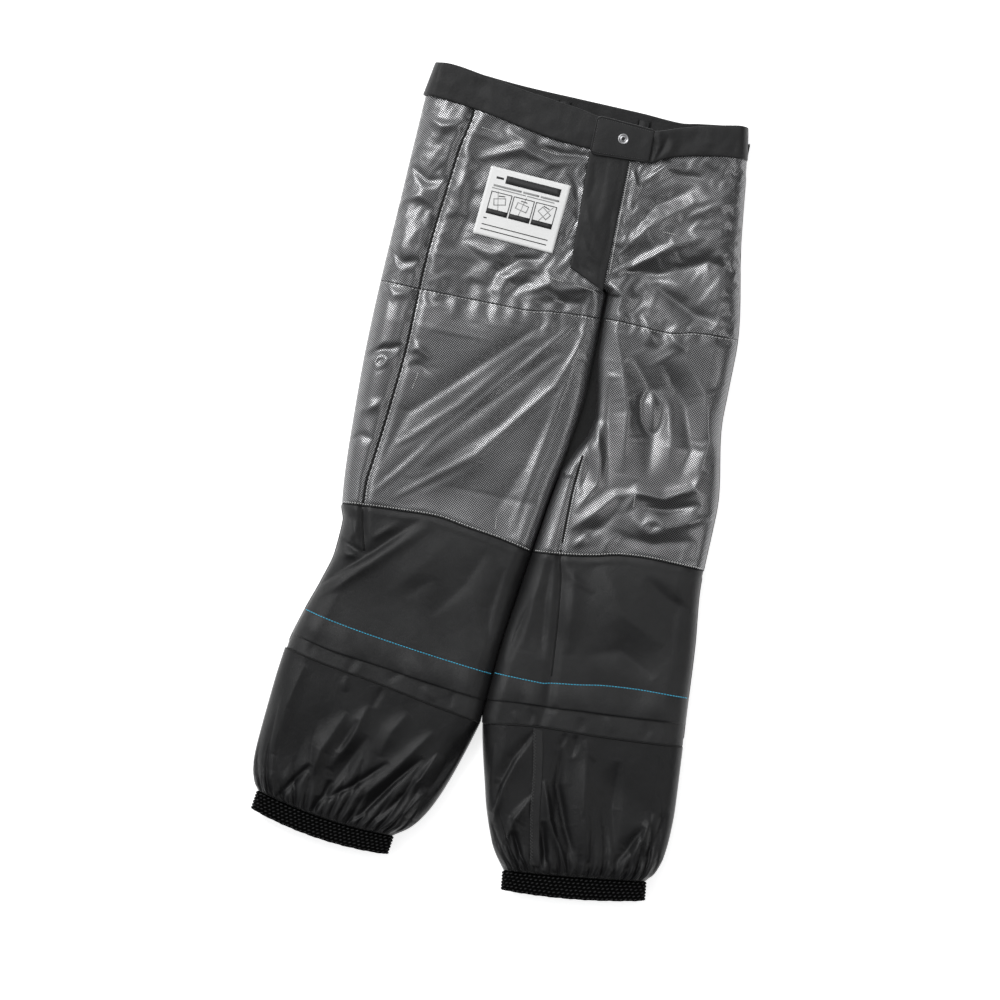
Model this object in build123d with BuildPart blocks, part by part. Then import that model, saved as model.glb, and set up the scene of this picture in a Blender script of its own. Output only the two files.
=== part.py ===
"""Children's insulated ski pants, turned inside out and lying on their back, fly side up.

Millimetres. X runs across the pants, +Y towards the waist, +Z up. The origin is the centre of the
bounding box, on the surface the pants lie on. Left is -X and right is +X, seen from above. Each wall
is three layers: the lining is outermost, then the insulation, then the shell, which bounds the
inside. The panels are flat slabs, and wedge-shaped seam strips close the edges between them.
"""

from build123d import *
import os

# Layer thicknesses and heights
LINING = 0.8
SHELL = 0.8
GAP = 0.1  # between layers of one wall
BACK_LOFT = 4.0  # insulation of the back wall
FRONT_LOFT = 3.8  # insulation of the front wall
HEIGHT = 36.0  # floor to the top of the front lining
POCKET_ROOM = 1.8  # space for pocket bags and zipper tapes, between shell and insulation

BACK_WADDING_Z = LINING + GAP
BACK_SHELL_Z = BACK_WADDING_Z + BACK_LOFT + GAP
FRONT_LINING_Z = HEIGHT - LINING
FRONT_WADDING_Z = FRONT_LINING_Z - GAP - FRONT_LOFT
FRONT_SHELL_Z = FRONT_WADDING_Z - GAP - POCKET_ROOM - SHELL

# Plan: where the panels end
KNEE_Y = -56.0  # the seam between dotted and plain lining, where the leg folds
KNEE_GAP = 0.3  # each side of the knee line
CROTCH_Y = 210.0
HIP_SEAM_Y = 180.0  # the seam across each thigh of the front lining
PANEL_TOP_Y = 373.0  # before the waistband is cut out of it
CENTRE_X = 23.8  # the zipper's line and the rise seam
ROLL = 12.0  # how far the panels' edges roll inwards from the outline

# Outlines of the legs at their widest, from waist to knee and from knee to gaiter
OUTER_LEFT = [(-180, 373), (-183, 293), (-188.5, 113), (-186, 13), (-180.5, KNEE_Y)]
INNER_LEFT = [(41.8, CROTCH_Y), (42.8, 113), (36.8, 53), (26.8, -7), (20.5, KNEE_Y)]
INNER_RIGHT = [(43.8, CROTCH_Y), (45.0, 113), (39.0, 53), (29.0, -7), (22.5, KNEE_Y)]
OUTER_RIGHT = [(157, 373), (167, 293), (185, 173), (185, 113), (198, 13), (197, KNEE_Y)]
LOW_OUTER_LEFT = [(-180.5, KNEE_Y), (-176, -71), (-177.5, -103), (-185.5, -135), (-196.5, -169), (-207, -211)]
LOW_INNER_LEFT = [(20.5, KNEE_Y), (13.8, -107), (6.8, -177), (1.0, -245)]
LOW_INNER_RIGHT = [(22.5, KNEE_Y), (16.0, -107), (8.8, -177), (8.8, -245)]
LOW_OUTER_RIGHT = [(197, KNEE_Y), (204, -127), (212, -229)]

# The tuck's thread and folded edge across each lower leg, outer end then inner end
THREAD_LEFT = [(-197, -168), (6.0, -194)]
THREAD_RIGHT = [(8.8, -193), (208, -180)]
TUCK_DEPTH = 27.0  # from the thread to the folded edge
TUCK_PROUD = 1.2  # how far the folded layers stand up
THREAD = 0.7
THREAD_SET = 0.6  # from the tuck to its thread

# Waistband
BAND = 3.0
TAB_ROOT_X = 57.0  # where the tab folds up
TAB_END_X = -3.0
TAB_LOWER = (346.5, 349.5)  # y of the tab's lower edge at its end and at its root
TAB_UPPER = (386.5, 383.0)
TAB_Z = 38.0
TAB = 2.4
SNAP_X, SNAP_Y = 27.8, 367.7
SNAP_RING_R, SNAP_FLANGE_R, SNAP_CAP_R, SNAP_POST_R = 5.65, 5.0, 6.5, 2.0

# Fly and zipper
SHIELD_Z = HEIGHT + 0.3
SHIELD = 1.5
FLY_HALF = 9.0  # half the opening in lining and insulation
ZIP_TOP, ZIP_BOTTOM = 345.0, 226.0
TAPE_WIDTH, TAPE = 12.0, 0.6
TAPE_Z = FRONT_SHELL_Z + SHELL + 0.2
CHAIN_SPLIT = 0.6  # half the gap between the two rows of coil
COIL = 1.8
SLIDER_Y = 337.0

# Cuffs: a flattened tube of ribbed elastic, turned a little to follow each leg
CUFF_TURN = 7.1  # degrees
CUFF_WIDTH, CUFF_LENGTH, CUFF_HEIGHT, CUFF_WALL = 146.0, 19.5, 14.0, 2.4
CUFF_LEFT = (-133.5, -368.5)  # middle of the upper edge
CUFF_RIGHT = (129.3, -380.7)

os.makedirs("parts", exist_ok=True)


# ---- helpers -------------------------------------------------------------------------------------


def save(piece, name):
    """Labels a finished piece and writes its file."""
    piece.part.label = name
    export_step(piece.part, f"parts/{name}.step")


def slab(outline, low, high, mode=Mode.ADD):
    """A flat slab with this outline in plan, between two heights."""
    with BuildSketch(Plane.XY.offset(low)) as plan:
        with BuildLine():
            Polyline(*outline, close=True)
        make_face()
    extrude(plan.sketch, amount=high - low, mode=mode)


def block(low_corner, high_corner, mode=Mode.ADD):
    """A box between two opposite corners."""
    size = [high - low for low, high in zip(low_corner, high_corner)]
    with Locations(tuple(low_corner)):
        Box(*size, align=(Align.MIN, Align.MIN, Align.MIN), mode=mode)


def disc(x, y, radius, low, high, mode=Mode.ADD):
    """An upright round of this radius between two heights."""
    with Locations((x, y, low)):
        Cylinder(radius, high - low, align=(Align.CENTER, Align.CENTER, Align.MIN), mode=mode)


def inset(edge, step):
    """An edge's points moved sideways."""
    return [(x + step, y) for x, y in edge]


def strip(edge, inwards):
    """A seam strip: a wedge whose point runs along an outline and whose flat back meets the panels."""
    sections = []
    for x, y in edge:
        with BuildSketch(Plane.XZ.offset(-y)) as section:
            with BuildLine():
                back = x + inwards
                Polyline((x, HEIGHT / 2), (back, 0), (back, HEIGHT), close=True)
            make_face()
        sections.append(section.sketch)
    loft(sections, ruled=True)


def at(edge, y):
    """The x of an edge at one y, on the straight run between two of its points."""
    for (x0, y0), (x1, y1) in zip(edge, edge[1:]):
        if y1 <= y <= y0:
            return x0 + (x1 - x0) * (y0 - y) / (y0 - y1)
    raise ValueError(f"the edge doesn't reach {y}")


def stretch(edge, top, bottom):
    """The part of an edge between two heights in plan, with its ends exactly there."""
    middle = [p for p in edge if bottom < p[1] < top]
    return [(at(edge, top), top), *middle, (at(edge, bottom), bottom)]


# ---- outlines of the panels ----------------------------------------------------------------------

UPPER_TOP, UPPER_BOTTOM = PANEL_TOP_Y, KNEE_Y + KNEE_GAP


def upper_outline(side, top, bottom, crotch=True):
    """The plan outline of an upper panel on one side, from top to bottom."""
    outer, inner = (OUTER_LEFT, INNER_LEFT) if side == "left" else (OUTER_RIGHT, INNER_RIGHT)
    step = ROLL if side == "left" else -ROLL
    out = inset(stretch(outer, top, bottom), step)
    if not crotch:
        return out + inset(stretch(inner, top, bottom), -step)[::-1]
    leg = inset(stretch(inner, CROTCH_Y, bottom), -step)
    return out + leg[::-1] + [(CENTRE_X, CROTCH_Y), (CENTRE_X, top)]


def lower_outline(side, top, bottom):
    """The plan outline of a lower panel: top is one y, bottom the outer and inner ends' y."""
    left = side == "left"
    outer, inner = (LOW_OUTER_LEFT, LOW_INNER_LEFT) if left else (LOW_OUTER_RIGHT, LOW_INNER_RIGHT)
    step = ROLL if left else -ROLL
    out = inset(stretch(outer, top, bottom[0]), step)
    return out + inset(stretch(inner, top, bottom[1]), -step)[::-1]


def across(line, x):
    """The y of a straight line across a leg at one x."""
    (x0, y0), (x1, y1) = line
    return y0 + (y1 - y0) * (x - x0) / (x1 - x0)


def meet(edge, line, step):
    """The y where an edge, moved sideways, crosses a straight line across the leg."""
    y = line[0][1]
    for _ in range(5):
        y = across(line, at(edge, y) + step)
    return y


# The band's lower edge and the two upper edges, which differ because the front dips in the middle
BAND_LOWER = [(-180, 373), (-128, 367), (-78, 359), (-48, 354), (-18, 351.5), (42, 350), (57.3, 349.5),
              (66, 354), (82, 359.5), (112, 366), (142, 371.5), (157, 373)]
BACK_UPPER = [(145, 406), (132, 405), (102, 401), (82, 398), (42, 400), (-18, 401.5), (-78, 403),
              (-123, 406), (-163, 409.5), (-173, 408)]
FRONT_UPPER_LEFT = [(48, 382), (-3, 386.5), (-18, 389.5), (-78, 397), (-123, 404), (-163, 409), (-173, 408)]
FRONT_UPPER_RIGHT = [(145, 406), (132, 404), (102, 397), (82, 391), (TAB_ROOT_X + 0.3, 383)]


def cut_waist():
    """Takes the waistband's place out of a panel."""
    above = PANEL_TOP_Y + 47
    slab([*BAND_LOWER, (BAND_LOWER[-1][0], above), (BAND_LOWER[0][0], above)], -1, HEIGHT + 1, mode=Mode.SUBTRACT)


def band_lower_at(x):
    """The y of the band's lower edge at one x."""
    for (x0, y0), (x1, y1) in zip(BAND_LOWER, BAND_LOWER[1:]):
        if x0 <= x <= x1:
            return y0 + (y1 - y0) * (x - x0) / (x1 - x0)
    raise ValueError(f"the band doesn't reach {x}")


# ---- upper layers --------------------------------------------------------------------------------

def cut_fly(half, low, high):
    """Opens a panel along the zipper."""
    block((CENTRE_X - half, ZIP_BOTTOM - 4, low - 1), (CENTRE_X + half, PANEL_TOP_Y + 1, high + 1),
          mode=Mode.SUBTRACT)


for side in ("left", "right"):
    whole = upper_outline(side, UPPER_TOP, UPPER_BOTTOM)

    with BuildPart() as lining_hip:
        slab(upper_outline(side, UPPER_TOP, HIP_SEAM_Y), FRONT_LINING_Z, HEIGHT)
        cut_waist()
        cut_fly(FLY_HALF, FRONT_LINING_Z, HEIGHT)
    save(lining_hip, f"lining_hip_{side}")

    with BuildPart() as lining_thigh:
        slab(upper_outline(side, HIP_SEAM_Y, UPPER_BOTTOM, crotch=False), FRONT_LINING_Z, HEIGHT)
    save(lining_thigh, f"lining_thigh_{side}")

    with BuildPart() as insulation_front:
        slab(whole, FRONT_WADDING_Z, FRONT_WADDING_Z + FRONT_LOFT)
        cut_waist()
        cut_fly(FLY_HALF, FRONT_WADDING_Z, FRONT_WADDING_Z + FRONT_LOFT)
    save(insulation_front, f"insulation_front_{side}")

    with BuildPart() as shell_front:
        slab(whole, FRONT_SHELL_Z, FRONT_SHELL_Z + SHELL)
        cut_waist()
        cut_fly(FLY_HALF - 1.5, FRONT_SHELL_Z, FRONT_SHELL_Z + SHELL)
    save(shell_front, f"shell_front_{side}")

    with BuildPart() as lining_back:
        slab(whole, 0, LINING)
        cut_waist()
    save(lining_back, f"lining_back_{side}")

    with BuildPart() as insulation_back:
        slab(whole, BACK_WADDING_Z, BACK_WADDING_Z + BACK_LOFT)
        cut_waist()
    save(insulation_back, f"insulation_back_{side}")

    with BuildPart() as shell_back:
        slab(whole, BACK_SHELL_Z, BACK_SHELL_Z + SHELL)
        cut_waist()
    save(shell_back, f"shell_back_{side}")

    outer, inner = (OUTER_LEFT, INNER_LEFT) if side == "left" else (OUTER_RIGHT, INNER_RIGHT)
    step = ROLL if side == "left" else -ROLL
    with BuildPart() as outseam:
        strip(stretch(outer, UPPER_TOP - 1, UPPER_BOTTOM), step)
        cut_waist()
    save(outseam, f"outseam_{side}")

    with BuildPart() as inseam:
        strip(stretch(inner, CROTCH_Y, UPPER_BOTTOM), -step)
    save(inseam, f"inseam_{side}")

# ---- pocket bags, between shell and insulation ---------------------------------------------------

POCKET_WIDTH, POCKET_DEPTH, POCKET, POCKET_CORNER = 84.0, 135.0, 1.2, 24.0
POCKET_Y = 275.0
POCKET_X = {"left": -126.0, "right": 106.0}
for side, middle in POCKET_X.items():
    with BuildPart() as pocket_bag:
        with BuildSketch(Plane.XY.offset(FRONT_SHELL_Z + SHELL + 0.3)) as bag:
            with Locations((middle, POCKET_Y)):
                RectangleRounded(POCKET_WIDTH, POCKET_DEPTH, POCKET_CORNER)
        extrude(amount=POCKET)
    save(pocket_bag, f"pocket_bag_{side}")

# ---- waistband -----------------------------------------------------------------------------------

LEFT_BAND_END = 48.0
RIGHT_BAND_START = TAB_ROOT_X + 0.3
ELASTIC = ((-120, 376, 0.9), (90, 394, 2.1))  # the tunnel in the back band
ELASTIC_EASE = 0.2

with BuildPart() as waistband_back:
    slab([*BAND_LOWER, *BACK_UPPER], 0, BAND)
    block(*ELASTIC, mode=Mode.SUBTRACT)
save(waistband_back, "waistband_back")

with BuildPart() as waist_elastic:
    block([low + ELASTIC_EASE for low in ELASTIC[0]], [high - ELASTIC_EASE for high in ELASTIC[1]])
save(waist_elastic, "waist_elastic")

with BuildPart() as waistband_front_left:
    left_lower = [p for p in BAND_LOWER if p[0] < LEFT_BAND_END]
    left_lower += [(LEFT_BAND_END, band_lower_at(LEFT_BAND_END))]
    slab([*left_lower, *FRONT_UPPER_LEFT], HEIGHT - BAND, HEIGHT)
save(waistband_front_left, "waistband_front_left")

DOUBLED_END = 74.0  # the right band is thicker up to here, where the tab grows out of it
DOUBLED_LOWER, DOUBLED_UPPER = 357.0, 388.0  # y of the thicker end's corners there
with BuildPart() as waistband_front_right:
    right_lower = [(RIGHT_BAND_START, band_lower_at(RIGHT_BAND_START))]
    right_lower += [p for p in BAND_LOWER if p[0] > RIGHT_BAND_START]
    slab([*right_lower, *FRONT_UPPER_RIGHT], HEIGHT - BAND, HEIGHT)
    doubled_end = [(RIGHT_BAND_START, TAB_LOWER[1]), (DOUBLED_END, DOUBLED_LOWER), (DOUBLED_END, DOUBLED_UPPER),
                   (RIGHT_BAND_START, TAB_UPPER[1])]
    slab(doubled_end, HEIGHT, TAB_Z + TAB)
save(waistband_front_right, "waistband_front_right")

# the two side ends, where front and back bands are joined
SIDE_END, SIDE_LOW_Y, SIDE_HIGH_Y = 6.0, 374.0, 404.0
WAIST_LEFT_X, WAIST_RIGHT_X = BACK_UPPER[-1][0], BACK_UPPER[0][0]
with BuildPart() as waistband_sides:
    for x in (WAIST_LEFT_X, WAIST_RIGHT_X - SIDE_END):
        block((x, SIDE_LOW_Y, BAND), (x + SIDE_END, SIDE_HIGH_Y, HEIGHT - BAND))
save(waistband_sides, "waistband_sides")

# belt loops on the shell side of the back band: two feet and a bridge that a belt passes under
LOOP_WIDTH, LOOP_LENGTH, LOOP, LOOP_ROOM, LOOP_FOOT = 11.0, 33.0, 1.4, 4.6, 3.0
LOOP_TOPS = ((-38, 397), (46, 394))  # middle of each loop's upper end
with BuildPart() as belt_loops:
    for middle, y in LOOP_TOPS:
        x0, x1, y0 = middle - LOOP_WIDTH / 2, middle + LOOP_WIDTH / 2, y - LOOP_LENGTH
        block((x0, y0, BAND + LOOP_ROOM), (x1, y, BAND + LOOP_ROOM + LOOP))
        for foot in (y0, y - LOOP_FOOT):
            block((x0, foot, BAND), (x1, foot + LOOP_FOOT, BAND + LOOP_ROOM))
save(belt_loops, "belt_loops")

# ---- closure tab and snap ------------------------------------------------------------------------

with BuildPart() as waist_tab:
    tab_outline = [(TAB_END_X, TAB_LOWER[0]), (TAB_ROOT_X, TAB_LOWER[1]), (TAB_ROOT_X, TAB_UPPER[1]),
                   (TAB_END_X, TAB_UPPER[0])]
    slab(tab_outline, TAB_Z, TAB_Z + TAB)
    fillet(waist_tab.edges().filter_by(Axis.Z).group_by(Axis.X)[0], radius=3)
    disc(SNAP_X, SNAP_Y, SNAP_POST_R, TAB_Z, TAB_Z + TAB, mode=Mode.SUBTRACT)
save(waist_tab, "waist_tab")

with BuildPart() as snap_ring:
    disc(SNAP_X, SNAP_Y, SNAP_RING_R, TAB_Z + TAB, TAB_Z + TAB + 0.9)
    fillet(snap_ring.edges().group_by(Axis.Z)[-1], radius=0.6)
    disc(SNAP_X, SNAP_Y, 3.2, TAB_Z + TAB + 0.3, TAB_Z + TAB + 1, mode=Mode.SUBTRACT)
save(snap_ring, "snap_ring")

with BuildPart() as snap_socket:
    disc(SNAP_X, SNAP_Y, SNAP_FLANGE_R, TAB_Z - 1.1, TAB_Z)
    disc(SNAP_X, SNAP_Y, SNAP_POST_R, TAB_Z, TAB_Z + TAB)
    disc(SNAP_X, SNAP_Y, 2.5, TAB_Z - 1.1, TAB_Z - 0.1, mode=Mode.SUBTRACT)
save(snap_socket, "snap_socket")

with BuildPart() as snap_stud:
    disc(SNAP_X, SNAP_Y, SNAP_FLANGE_R, HEIGHT, HEIGHT + 0.6)
    disc(SNAP_X, SNAP_Y, 2.1, HEIGHT + 0.6, HEIGHT + 1.7)
save(snap_stud, "snap_stud")

with BuildPart() as snap_cap:
    disc(SNAP_X, SNAP_Y, SNAP_CAP_R, HEIGHT - BAND - 1.4, HEIGHT - BAND)
    fillet(snap_cap.edges().group_by(Axis.Z)[0], radius=0.9)
save(snap_cap, "snap_cap")

# ---- fly shield ----------------------------------------------------------------------------------

SHIELD_ROOT_X = 39.0
SHIELD_FREE_EDGE = [(-4, 337), (-2, 263), (-0.5, 233), (7, 221)]
SHIELD_FOOT_Y, SHIELD_HEAD_Y = 211.0, 347.0  # of the edge it is sewn on by
with BuildPart() as fly_shield:
    sewn_edge = [(SHIELD_ROOT_X, SHIELD_FOOT_Y), (SHIELD_ROOT_X, SHIELD_HEAD_Y)]
    slab([*SHIELD_FREE_EDGE, *sewn_edge], SHIELD_Z, SHIELD_Z + SHIELD)
save(fly_shield, "fly_shield")

# ---- zipper --------------------------------------------------------------------------------------

for side, sign in (("left", -1), ("right", 1)):
    near, far = CENTRE_X + sign * CHAIN_SPLIT, CENTRE_X + sign * (CHAIN_SPLIT + TAPE_WIDTH)
    with BuildPart() as zipper_tape:
        xs = sorted((near, far))
        block((xs[0], ZIP_BOTTOM, TAPE_Z), (xs[1], ZIP_TOP, TAPE_Z + TAPE))
    save(zipper_tape, f"zipper_tape_{side}")

    with BuildPart() as zipper_coil:
        row = sorted((near, near + sign * COIL))
        block((row[0], ZIP_BOTTOM + 6, TAPE_Z - COIL), (row[1], ZIP_TOP - 3, TAPE_Z))
        fillet(zipper_coil.edges().filter_by(Axis.Y).group_by(Axis.Z)[0], radius=0.7)
    save(zipper_coil, f"zipper_coil_{side}")

with BuildPart() as zipper_stops:
    for sign in (-1, 1):
        xs = sorted((CENTRE_X + sign * (CHAIN_SPLIT + 0.2), CENTRE_X + sign * (CHAIN_SPLIT + 2.6)))
        block((xs[0], ZIP_TOP - 2.8, TAPE_Z - 1.8), (xs[1], ZIP_TOP - 0.3, TAPE_Z))
    block((CENTRE_X - 2.6, ZIP_BOTTOM + 3.2, TAPE_Z - 1.8), (CENTRE_X + 2.6, ZIP_BOTTOM + 5.8, TAPE_Z))
save(zipper_stops, "zipper_stops")

SLIDER_WIDTH, SLIDER_LENGTH, PLATE = 8.4, 8.0, 1.0
EAR_IN, EAR_OUT, EAR_HALF_LENGTH = 1.9, 2.9, 1.6  # of the two ears that hold the pull's pin
SLIDER_TOP_Z = TAPE_Z + TAPE + 0.2
SLIDER_LOW_Z = TAPE_Z - COIL - 0.2 - PLATE
PIN_Z, PIN_R = SLIDER_LOW_Z - 2.1, 0.7
EYE_R, EYE_HALF = 1.7, 1.7
with BuildPart() as zipper_slider:
    for z in (SLIDER_LOW_Z, SLIDER_TOP_Z):
        block((CENTRE_X - SLIDER_WIDTH / 2, SLIDER_Y - SLIDER_LENGTH / 2, z),
              (CENTRE_X + SLIDER_WIDTH / 2, SLIDER_Y + SLIDER_LENGTH / 2, z + PLATE))
    fillet(zipper_slider.edges().filter_by(Axis.Z), radius=1.6)
    # the web runs between the two rows of the chain
    block((CENTRE_X - 0.3, SLIDER_Y - 1.5, SLIDER_LOW_Z + PLATE),
          (CENTRE_X + 0.3, SLIDER_Y + 1.5, SLIDER_TOP_Z))
    for sign in (-1, 1):
        xs = sorted((CENTRE_X + sign * EAR_IN, CENTRE_X + sign * EAR_OUT))
        block((xs[0], SLIDER_Y - EAR_HALF_LENGTH, PIN_Z - 1.2), (xs[1], SLIDER_Y + EAR_HALF_LENGTH, SLIDER_LOW_Z))
    with Locations(Plane.YZ.offset(CENTRE_X - EAR_IN)):
        with Locations((SLIDER_Y, PIN_Z)):
            Cylinder(PIN_R, 2 * EAR_IN, align=(Align.CENTER, Align.CENTER, Align.MIN))
save(zipper_slider, "zipper_slider")

PULL_LENGTH, PULL_WIDTH, PULL = 15.0, 6.0, 1.4
with BuildPart() as zipper_pull:
    with BuildSketch(Plane.YZ.offset(CENTRE_X - EYE_HALF)) as eye:
        with Locations((SLIDER_Y, PIN_Z)):
            Circle(EYE_R)
        with Locations((SLIDER_Y, PIN_Z - 2.2)):
            Rectangle(PULL, 4.4)
    extrude(amount=2 * EYE_HALF)
    with BuildSketch(Plane.XZ.offset(-SLIDER_Y - PULL / 2)) as grip:
        with Locations((CENTRE_X, PIN_Z - 4 - (PULL_LENGTH - 4) / 2)):
            RectangleRounded(PULL_WIDTH, PULL_LENGTH - 4, 1.6)
    extrude(amount=PULL)
    with BuildSketch(Plane.YZ.offset(CENTRE_X - EYE_HALF)) as bore:
        with Locations((SLIDER_Y, PIN_Z)):
            Circle(PIN_R + 0.1)
    extrude(amount=2 * EYE_HALF, mode=Mode.SUBTRACT)
save(zipper_pull, "zipper_pull")

# ---- care label ----------------------------------------------------------------------------------

LABEL_CORNERS = [(-99, 314.5), (-15, 310.5), (-20, 239), (-104, 243.5)]
LABEL = 0.3
with BuildPart() as care_label:
    slab(LABEL_CORNERS, HEIGHT, HEIGHT + LABEL)
save(care_label, "care_label")

# ---- lower legs ----------------------------------------------------------------------------------

LOWER_TOP = KNEE_Y - KNEE_GAP
SHELL_HEM_Y = -300.0
GAITER_Z, GAITER = 34.0, 1.2
GAITER_ROLL = 10.0


def gaiter_section(middle, half, turn, height, shrink):
    """A flattened six-sided ring section across the leg, at a point of the leg's middle line."""
    x_dir = Vector(1, 0, 0).rotate(Axis.Z, turn)
    down = Vector(0, -1, 0).rotate(Axis.Z, turn)
    with BuildSketch(Plane(origin=(*middle, 0), x_dir=x_dir, z_dir=down)) as section:
        with BuildLine():
            w, r, low, high = half - shrink, GAITER_ROLL, shrink, height - shrink
            Polyline((-w, height / 2), (-w + r, low), (w - r, low), (w, height / 2), (w - r, high),
                     (-w + r, high), close=True)
        make_face()
    return section.sketch


LEGS = {
    "left": dict(
        thread=THREAD_LEFT, seam=[(-207, -211), (1, -245)], turn=-CUFF_TURN, cuff=CUFF_LEFT,
        rings=[((-104, -231.5), 105.0, -9.3, GAITER_Z), ((-119.5, -322), 98.6, -CUFF_TURN, GAITER_Z)],
    ),
    "right": dict(
        thread=THREAD_RIGHT, seam=[(212, -229), (8.8, -245)], turn=CUFF_TURN, cuff=CUFF_RIGHT,
        rings=[((111, -238.5), 104.0, 4.5, GAITER_Z), ((119.6, -322), 98.6, CUFF_TURN, GAITER_Z)],
    ),
}

for side, leg in LEGS.items():
    seam, thread = leg["seam"], leg["thread"]
    left = side == "left"
    outer, inner = (LOW_OUTER_LEFT, LOW_INNER_LEFT) if left else (LOW_OUTER_RIGHT, LOW_INNER_RIGHT)
    step = ROLL if left else -ROLL
    outer_x, inner_x = outer[-1][0], inner[-1][0]
    thread_ends = (meet(outer, thread, step), meet(inner, thread, -step))
    seam_ends = (outer[-1][1], inner[-1][1])

    for face, low in (("front", FRONT_LINING_Z), ("back", 0)):
        with BuildPart() as lining_lower:
            slab(lower_outline(side, LOWER_TOP, thread_ends), low, low + LINING)
        save(lining_lower, f"lining_lower_{face}_{side}")

    # the doubled cloth of the grow tuck, and the single cloth from its folded edge to the gaiter
    fold_ends = tuple(y - TUCK_DEPTH for y in thread_ends)
    below_thread = inset(stretch(outer, thread_ends[0], seam_ends[0]), step)
    below_thread += inset(stretch(inner, thread_ends[1], seam_ends[1]), -step)[::-1]
    doubled = inset(stretch(outer, thread_ends[0], fold_ends[0]), step)
    doubled += inset(stretch(inner, thread_ends[1], fold_ends[1]), -step)[::-1]
    with BuildPart() as grow_tuck:
        slab(below_thread, FRONT_LINING_Z, HEIGHT)
        slab(doubled, HEIGHT, HEIGHT + TUCK_PROUD)
        slab(below_thread, 0, LINING)
    save(grow_tuck, f"grow_tuck_{side}")

    with BuildPart() as tuck_thread:
        ends = [(at(outer, thread_ends[0]) + step, thread_ends[0])]
        ends += [(at(inner, thread_ends[1]) - step, thread_ends[1])]
        near_edge = [(x, y + THREAD_SET) for x, y in ends]
        far_edge = [(x, y + THREAD_SET + THREAD) for x, y in ends]
        slab(near_edge + far_edge[::-1], HEIGHT, HEIGHT + THREAD)
    save(tuck_thread, f"tuck_thread_{side}")

    whole = lower_outline(side, LOWER_TOP, seam_ends)
    with BuildPart() as insulation_lower:
        slab(whole, FRONT_WADDING_Z, FRONT_WADDING_Z + FRONT_LOFT)
        slab(whole, BACK_WADDING_Z, BACK_WADDING_Z + BACK_LOFT)
    save(insulation_lower, f"insulation_lower_{side}")

    hem_out = (outer_x + 2 * step, SHELL_HEM_Y - seam_ends[1] + seam_ends[0])
    hem_in = (inner_x - 2 * step, SHELL_HEM_Y)
    to_hem = inset(stretch(outer, LOWER_TOP, seam_ends[0]), step) + [hem_out, hem_in]
    to_hem += inset(stretch(inner, LOWER_TOP, seam_ends[1]), -step)[::-1]
    with BuildPart() as shell_lower:
        slab(to_hem, FRONT_SHELL_Z, FRONT_SHELL_Z + SHELL)
        slab(to_hem, BACK_SHELL_Z, BACK_SHELL_Z + SHELL)
    save(shell_lower, f"shell_lower_{side}")

    with BuildPart() as leg_seams:
        strip(stretch(outer, LOWER_TOP, seam_ends[0] + 2.5), step)
        strip(stretch(inner, LOWER_TOP, seam_ends[1] + 2.5), -step)
    save(leg_seams, f"leg_seams_{side}")

    cuff_middle, turn = leg["cuff"], leg["turn"]
    rings = leg["rings"] + [(cuff_middle, CUFF_WIDTH / 2, turn, CUFF_HEIGHT)]
    with BuildPart() as gaiter:
        loft([gaiter_section(*ring, 0) for ring in rings], ruled=True)
        loft([gaiter_section(*ring, GAITER) for ring in rings], ruled=True, mode=Mode.SUBTRACT)
    save(gaiter, f"gaiter_{side}")

    x_dir = Vector(1, 0, 0).rotate(Axis.Z, turn)
    down = Vector(0, -1, 0).rotate(Axis.Z, turn)
    start = Vector(*cuff_middle, 0) + down * 0.3
    with BuildPart() as cuff:
        with BuildSketch(Plane(origin=start, x_dir=x_dir, z_dir=down)) as ring:
            with Locations((0, CUFF_HEIGHT / 2)):
                SlotOverall(CUFF_WIDTH, CUFF_HEIGHT)
                SlotOverall(CUFF_WIDTH - 2 * CUFF_WALL, CUFF_HEIGHT - 2 * CUFF_WALL, mode=Mode.SUBTRACT)
        extrude(amount=CUFF_LENGTH)
    save(cuff, f"cuff_{side}")
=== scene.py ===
"""The looks of the ski pants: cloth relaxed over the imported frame, and a procedural material for every piece.

The pants lie on their back, turned inside out. Inside this script shapes are worked out in
millimetres, in the frame's own axes, and turned into metres when a mesh is made.
"""

import math

import bpy
import numpy as np
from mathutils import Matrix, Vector
from mathutils.bvhtree import BVHTree


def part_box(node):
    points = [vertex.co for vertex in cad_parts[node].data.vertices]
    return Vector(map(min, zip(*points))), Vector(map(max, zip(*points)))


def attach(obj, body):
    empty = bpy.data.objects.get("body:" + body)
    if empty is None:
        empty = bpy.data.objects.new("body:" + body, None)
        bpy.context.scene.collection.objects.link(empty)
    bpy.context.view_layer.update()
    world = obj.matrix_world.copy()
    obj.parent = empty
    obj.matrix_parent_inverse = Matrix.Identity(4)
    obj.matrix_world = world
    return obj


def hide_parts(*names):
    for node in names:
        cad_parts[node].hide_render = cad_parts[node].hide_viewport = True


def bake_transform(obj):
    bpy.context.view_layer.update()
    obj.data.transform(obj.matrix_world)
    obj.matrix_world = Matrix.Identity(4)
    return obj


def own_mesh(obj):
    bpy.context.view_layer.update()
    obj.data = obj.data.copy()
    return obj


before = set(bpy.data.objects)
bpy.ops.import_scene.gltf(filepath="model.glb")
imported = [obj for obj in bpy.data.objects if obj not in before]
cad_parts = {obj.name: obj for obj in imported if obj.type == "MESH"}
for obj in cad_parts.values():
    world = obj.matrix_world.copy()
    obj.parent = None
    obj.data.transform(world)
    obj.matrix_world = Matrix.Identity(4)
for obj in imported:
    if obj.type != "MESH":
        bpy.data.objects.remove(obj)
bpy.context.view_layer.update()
MM = 0.001

# ---- numbers that shape the cloth, in millimetres ------------------------------------------------

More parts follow.
